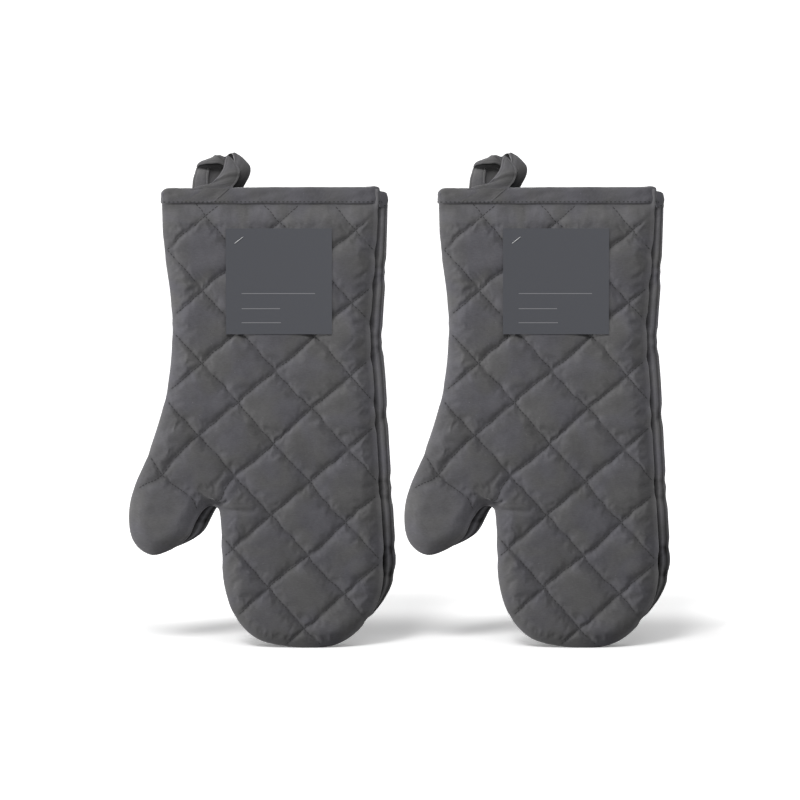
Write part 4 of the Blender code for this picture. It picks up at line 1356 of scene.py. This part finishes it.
def aimed(name, data, back, place=(0, 0, 0)):
    """A lamp or camera at a place, which looks the other way from back."""
    obj = placed(name, data)
    obj.location = place
    obj.rotation_mode = "QUATERNION"
    obj.rotation_quaternion = back.to_track_quat("Z", "Y")
    return obj


def sun(name, turn, height, strength, softness, shadow):
    lamp = bpy.data.lights.new(name, "SUN")
    lamp.energy = strength
    lamp.angle = math.radians(softness)
    lamp.use_shadow = shadow
    lamp.cycles.cast_shadow = shadow
    turn, height = math.radians(turn), math.radians(height)
    level = math.cos(height)
    aimed(name, lamp, Vector((-math.sin(turn) * level, -math.cos(turn) * level, math.sin(height))))


def strip_light():
    """A long soft light over the front, nearer to the cuffs than to the fingertips."""
    lamp = bpy.data.lights.new("strip", "AREA")
    lamp.shape = "RECTANGLE"
    lamp.size, lamp.size_y = STRIP_SIZE
    lamp.energy = STRIP_POWER
    aim = Vector((STRIP_PLACE[0], 0, CENTRE_Z))
    aimed("strip", lamp, Vector(STRIP_PLACE) - aim, STRIP_PLACE)


def light():
    world = bpy.data.worlds.new("studio")
    bpy.context.scene.world = world
    world.use_nodes = True
    tree = world.node_tree
    strength = ranged(tree, seen_rays(tree), AMBIENT, 1.0)
    plugged(tree, tree.nodes["Background"], [("Color", (1, 1, 1, 1)), ("Strength", strength)])
    for row in SUNS:
        sun(*row)
    strip_light()


def camera():
    lens = bpy.data.cameras.new("camera")
    lens.sensor_width = SENSOR
    lens.lens = SENSOR * CAMERA_DISTANCE / PICTURE
    lens.clip_end = CAMERA_FAR
    back = Vector((0, -math.cos(CAMERA_RISE), math.sin(CAMERA_RISE)))
    place = Vector((0, 0, CENTRE_Z)) + back * CAMERA_DISTANCE
    bpy.context.scene.camera = aimed("camera", lens, back, place)


# Building

def lining(name, side, finish):
    """The lining of one half: a thin sheet over the pad's inner face, up to the cuff."""
    border = SEAM - (SEAM_ALLOWANCE + LINING_INSET) * FRONT_NORMAL
    border = resampled(border, len(border) // 3)
    border[[0, -1], 1] = CUFF_Z
    faces = fill_triangles(border, [])
    count = len(border)
    sheets = [stood_up(border, side * y) for y in (LINING_Y, LINING_Y + LINING)]
    faces = faces + [[count + i for i in face] for face in faces]
    faces += ring_faces(count, 0, count) + [(count - 1, 0, count, 2 * count - 1)]
    sheets = cuff_formed(np.vstack(sheets), BINDING_STEP if side > 0 else 0)
    mesh = mesh_of(name, sheets, faces, finish, np.vstack([border, border]))
    return cleaned(mesh, sharp=40)


def build():
    shell = cotton("charcoal_cotton", COTTON)
    strip = cotton("binding_cotton", COTTON)
    inside = cotton("lining_cotton", LINING_COTTON, sheen=0.1)
    thread = plain("charcoal_thread", THREAD, 0.7, gloss=0.15)
    for word, side in (("front", -1), ("back", 1)):
        pad = quilted_half(f"{word}_quilted_pad", side, shell)
        pads = stand_twice(pad, "mitt", "quilted_cotton", f"{word}_cover", f"{word}_batting")
        stitches = quilting_thread(f"{word}_quilting_thread", pad, side, thread)
        stand_twice(stitches, "mitt", "quilted_cotton")
        cloth = lining(f"{word}_lining_cloth", side, inside)
        cloths = stand_twice(cloth, "mitt", "lining_cotton", f"{word}_lining")
    binding = cuff_binding("bound_cuff", strip)
    stand_twice(binding, "mitt", "binding_cotton", "cuff_binding")
    tail = loop_tail("loop_tail", strip)
    stand_twice(tail, "mitt", "binding_cotton")
    stand_twice(binding_thread("binding_thread", (binding, tail), thread), "mitt", "binding_cotton")
    for word, places, *looks in STRIPS:
        mesh = strip_mesh(f"loop_{word}_strip", *strip_edges(places), strip, STRIP_THICKNESS, *looks)
        replaced = ["hanging_loop"] if word == "top" else []
        stand_twice(mesh, "loop", "binding_cotton", *replaced)
    board = plain("printed_board", BOARD, 0.5, scale=1500.0, gloss=0.15)
    print_rules(board)
    stand_twice(card_mesh("card_board", board), "card", "dark_board", "header_card")
    nylon = plain("white_nylon", NYLON, 0.35)
    stand_twice(pin_mesh("nylon_pin", nylon), "mitt", "white_nylon", "tag_pin")


build()
floor()
light()
camera()
bpy.context.scene.view_settings.view_transform = "Standard"
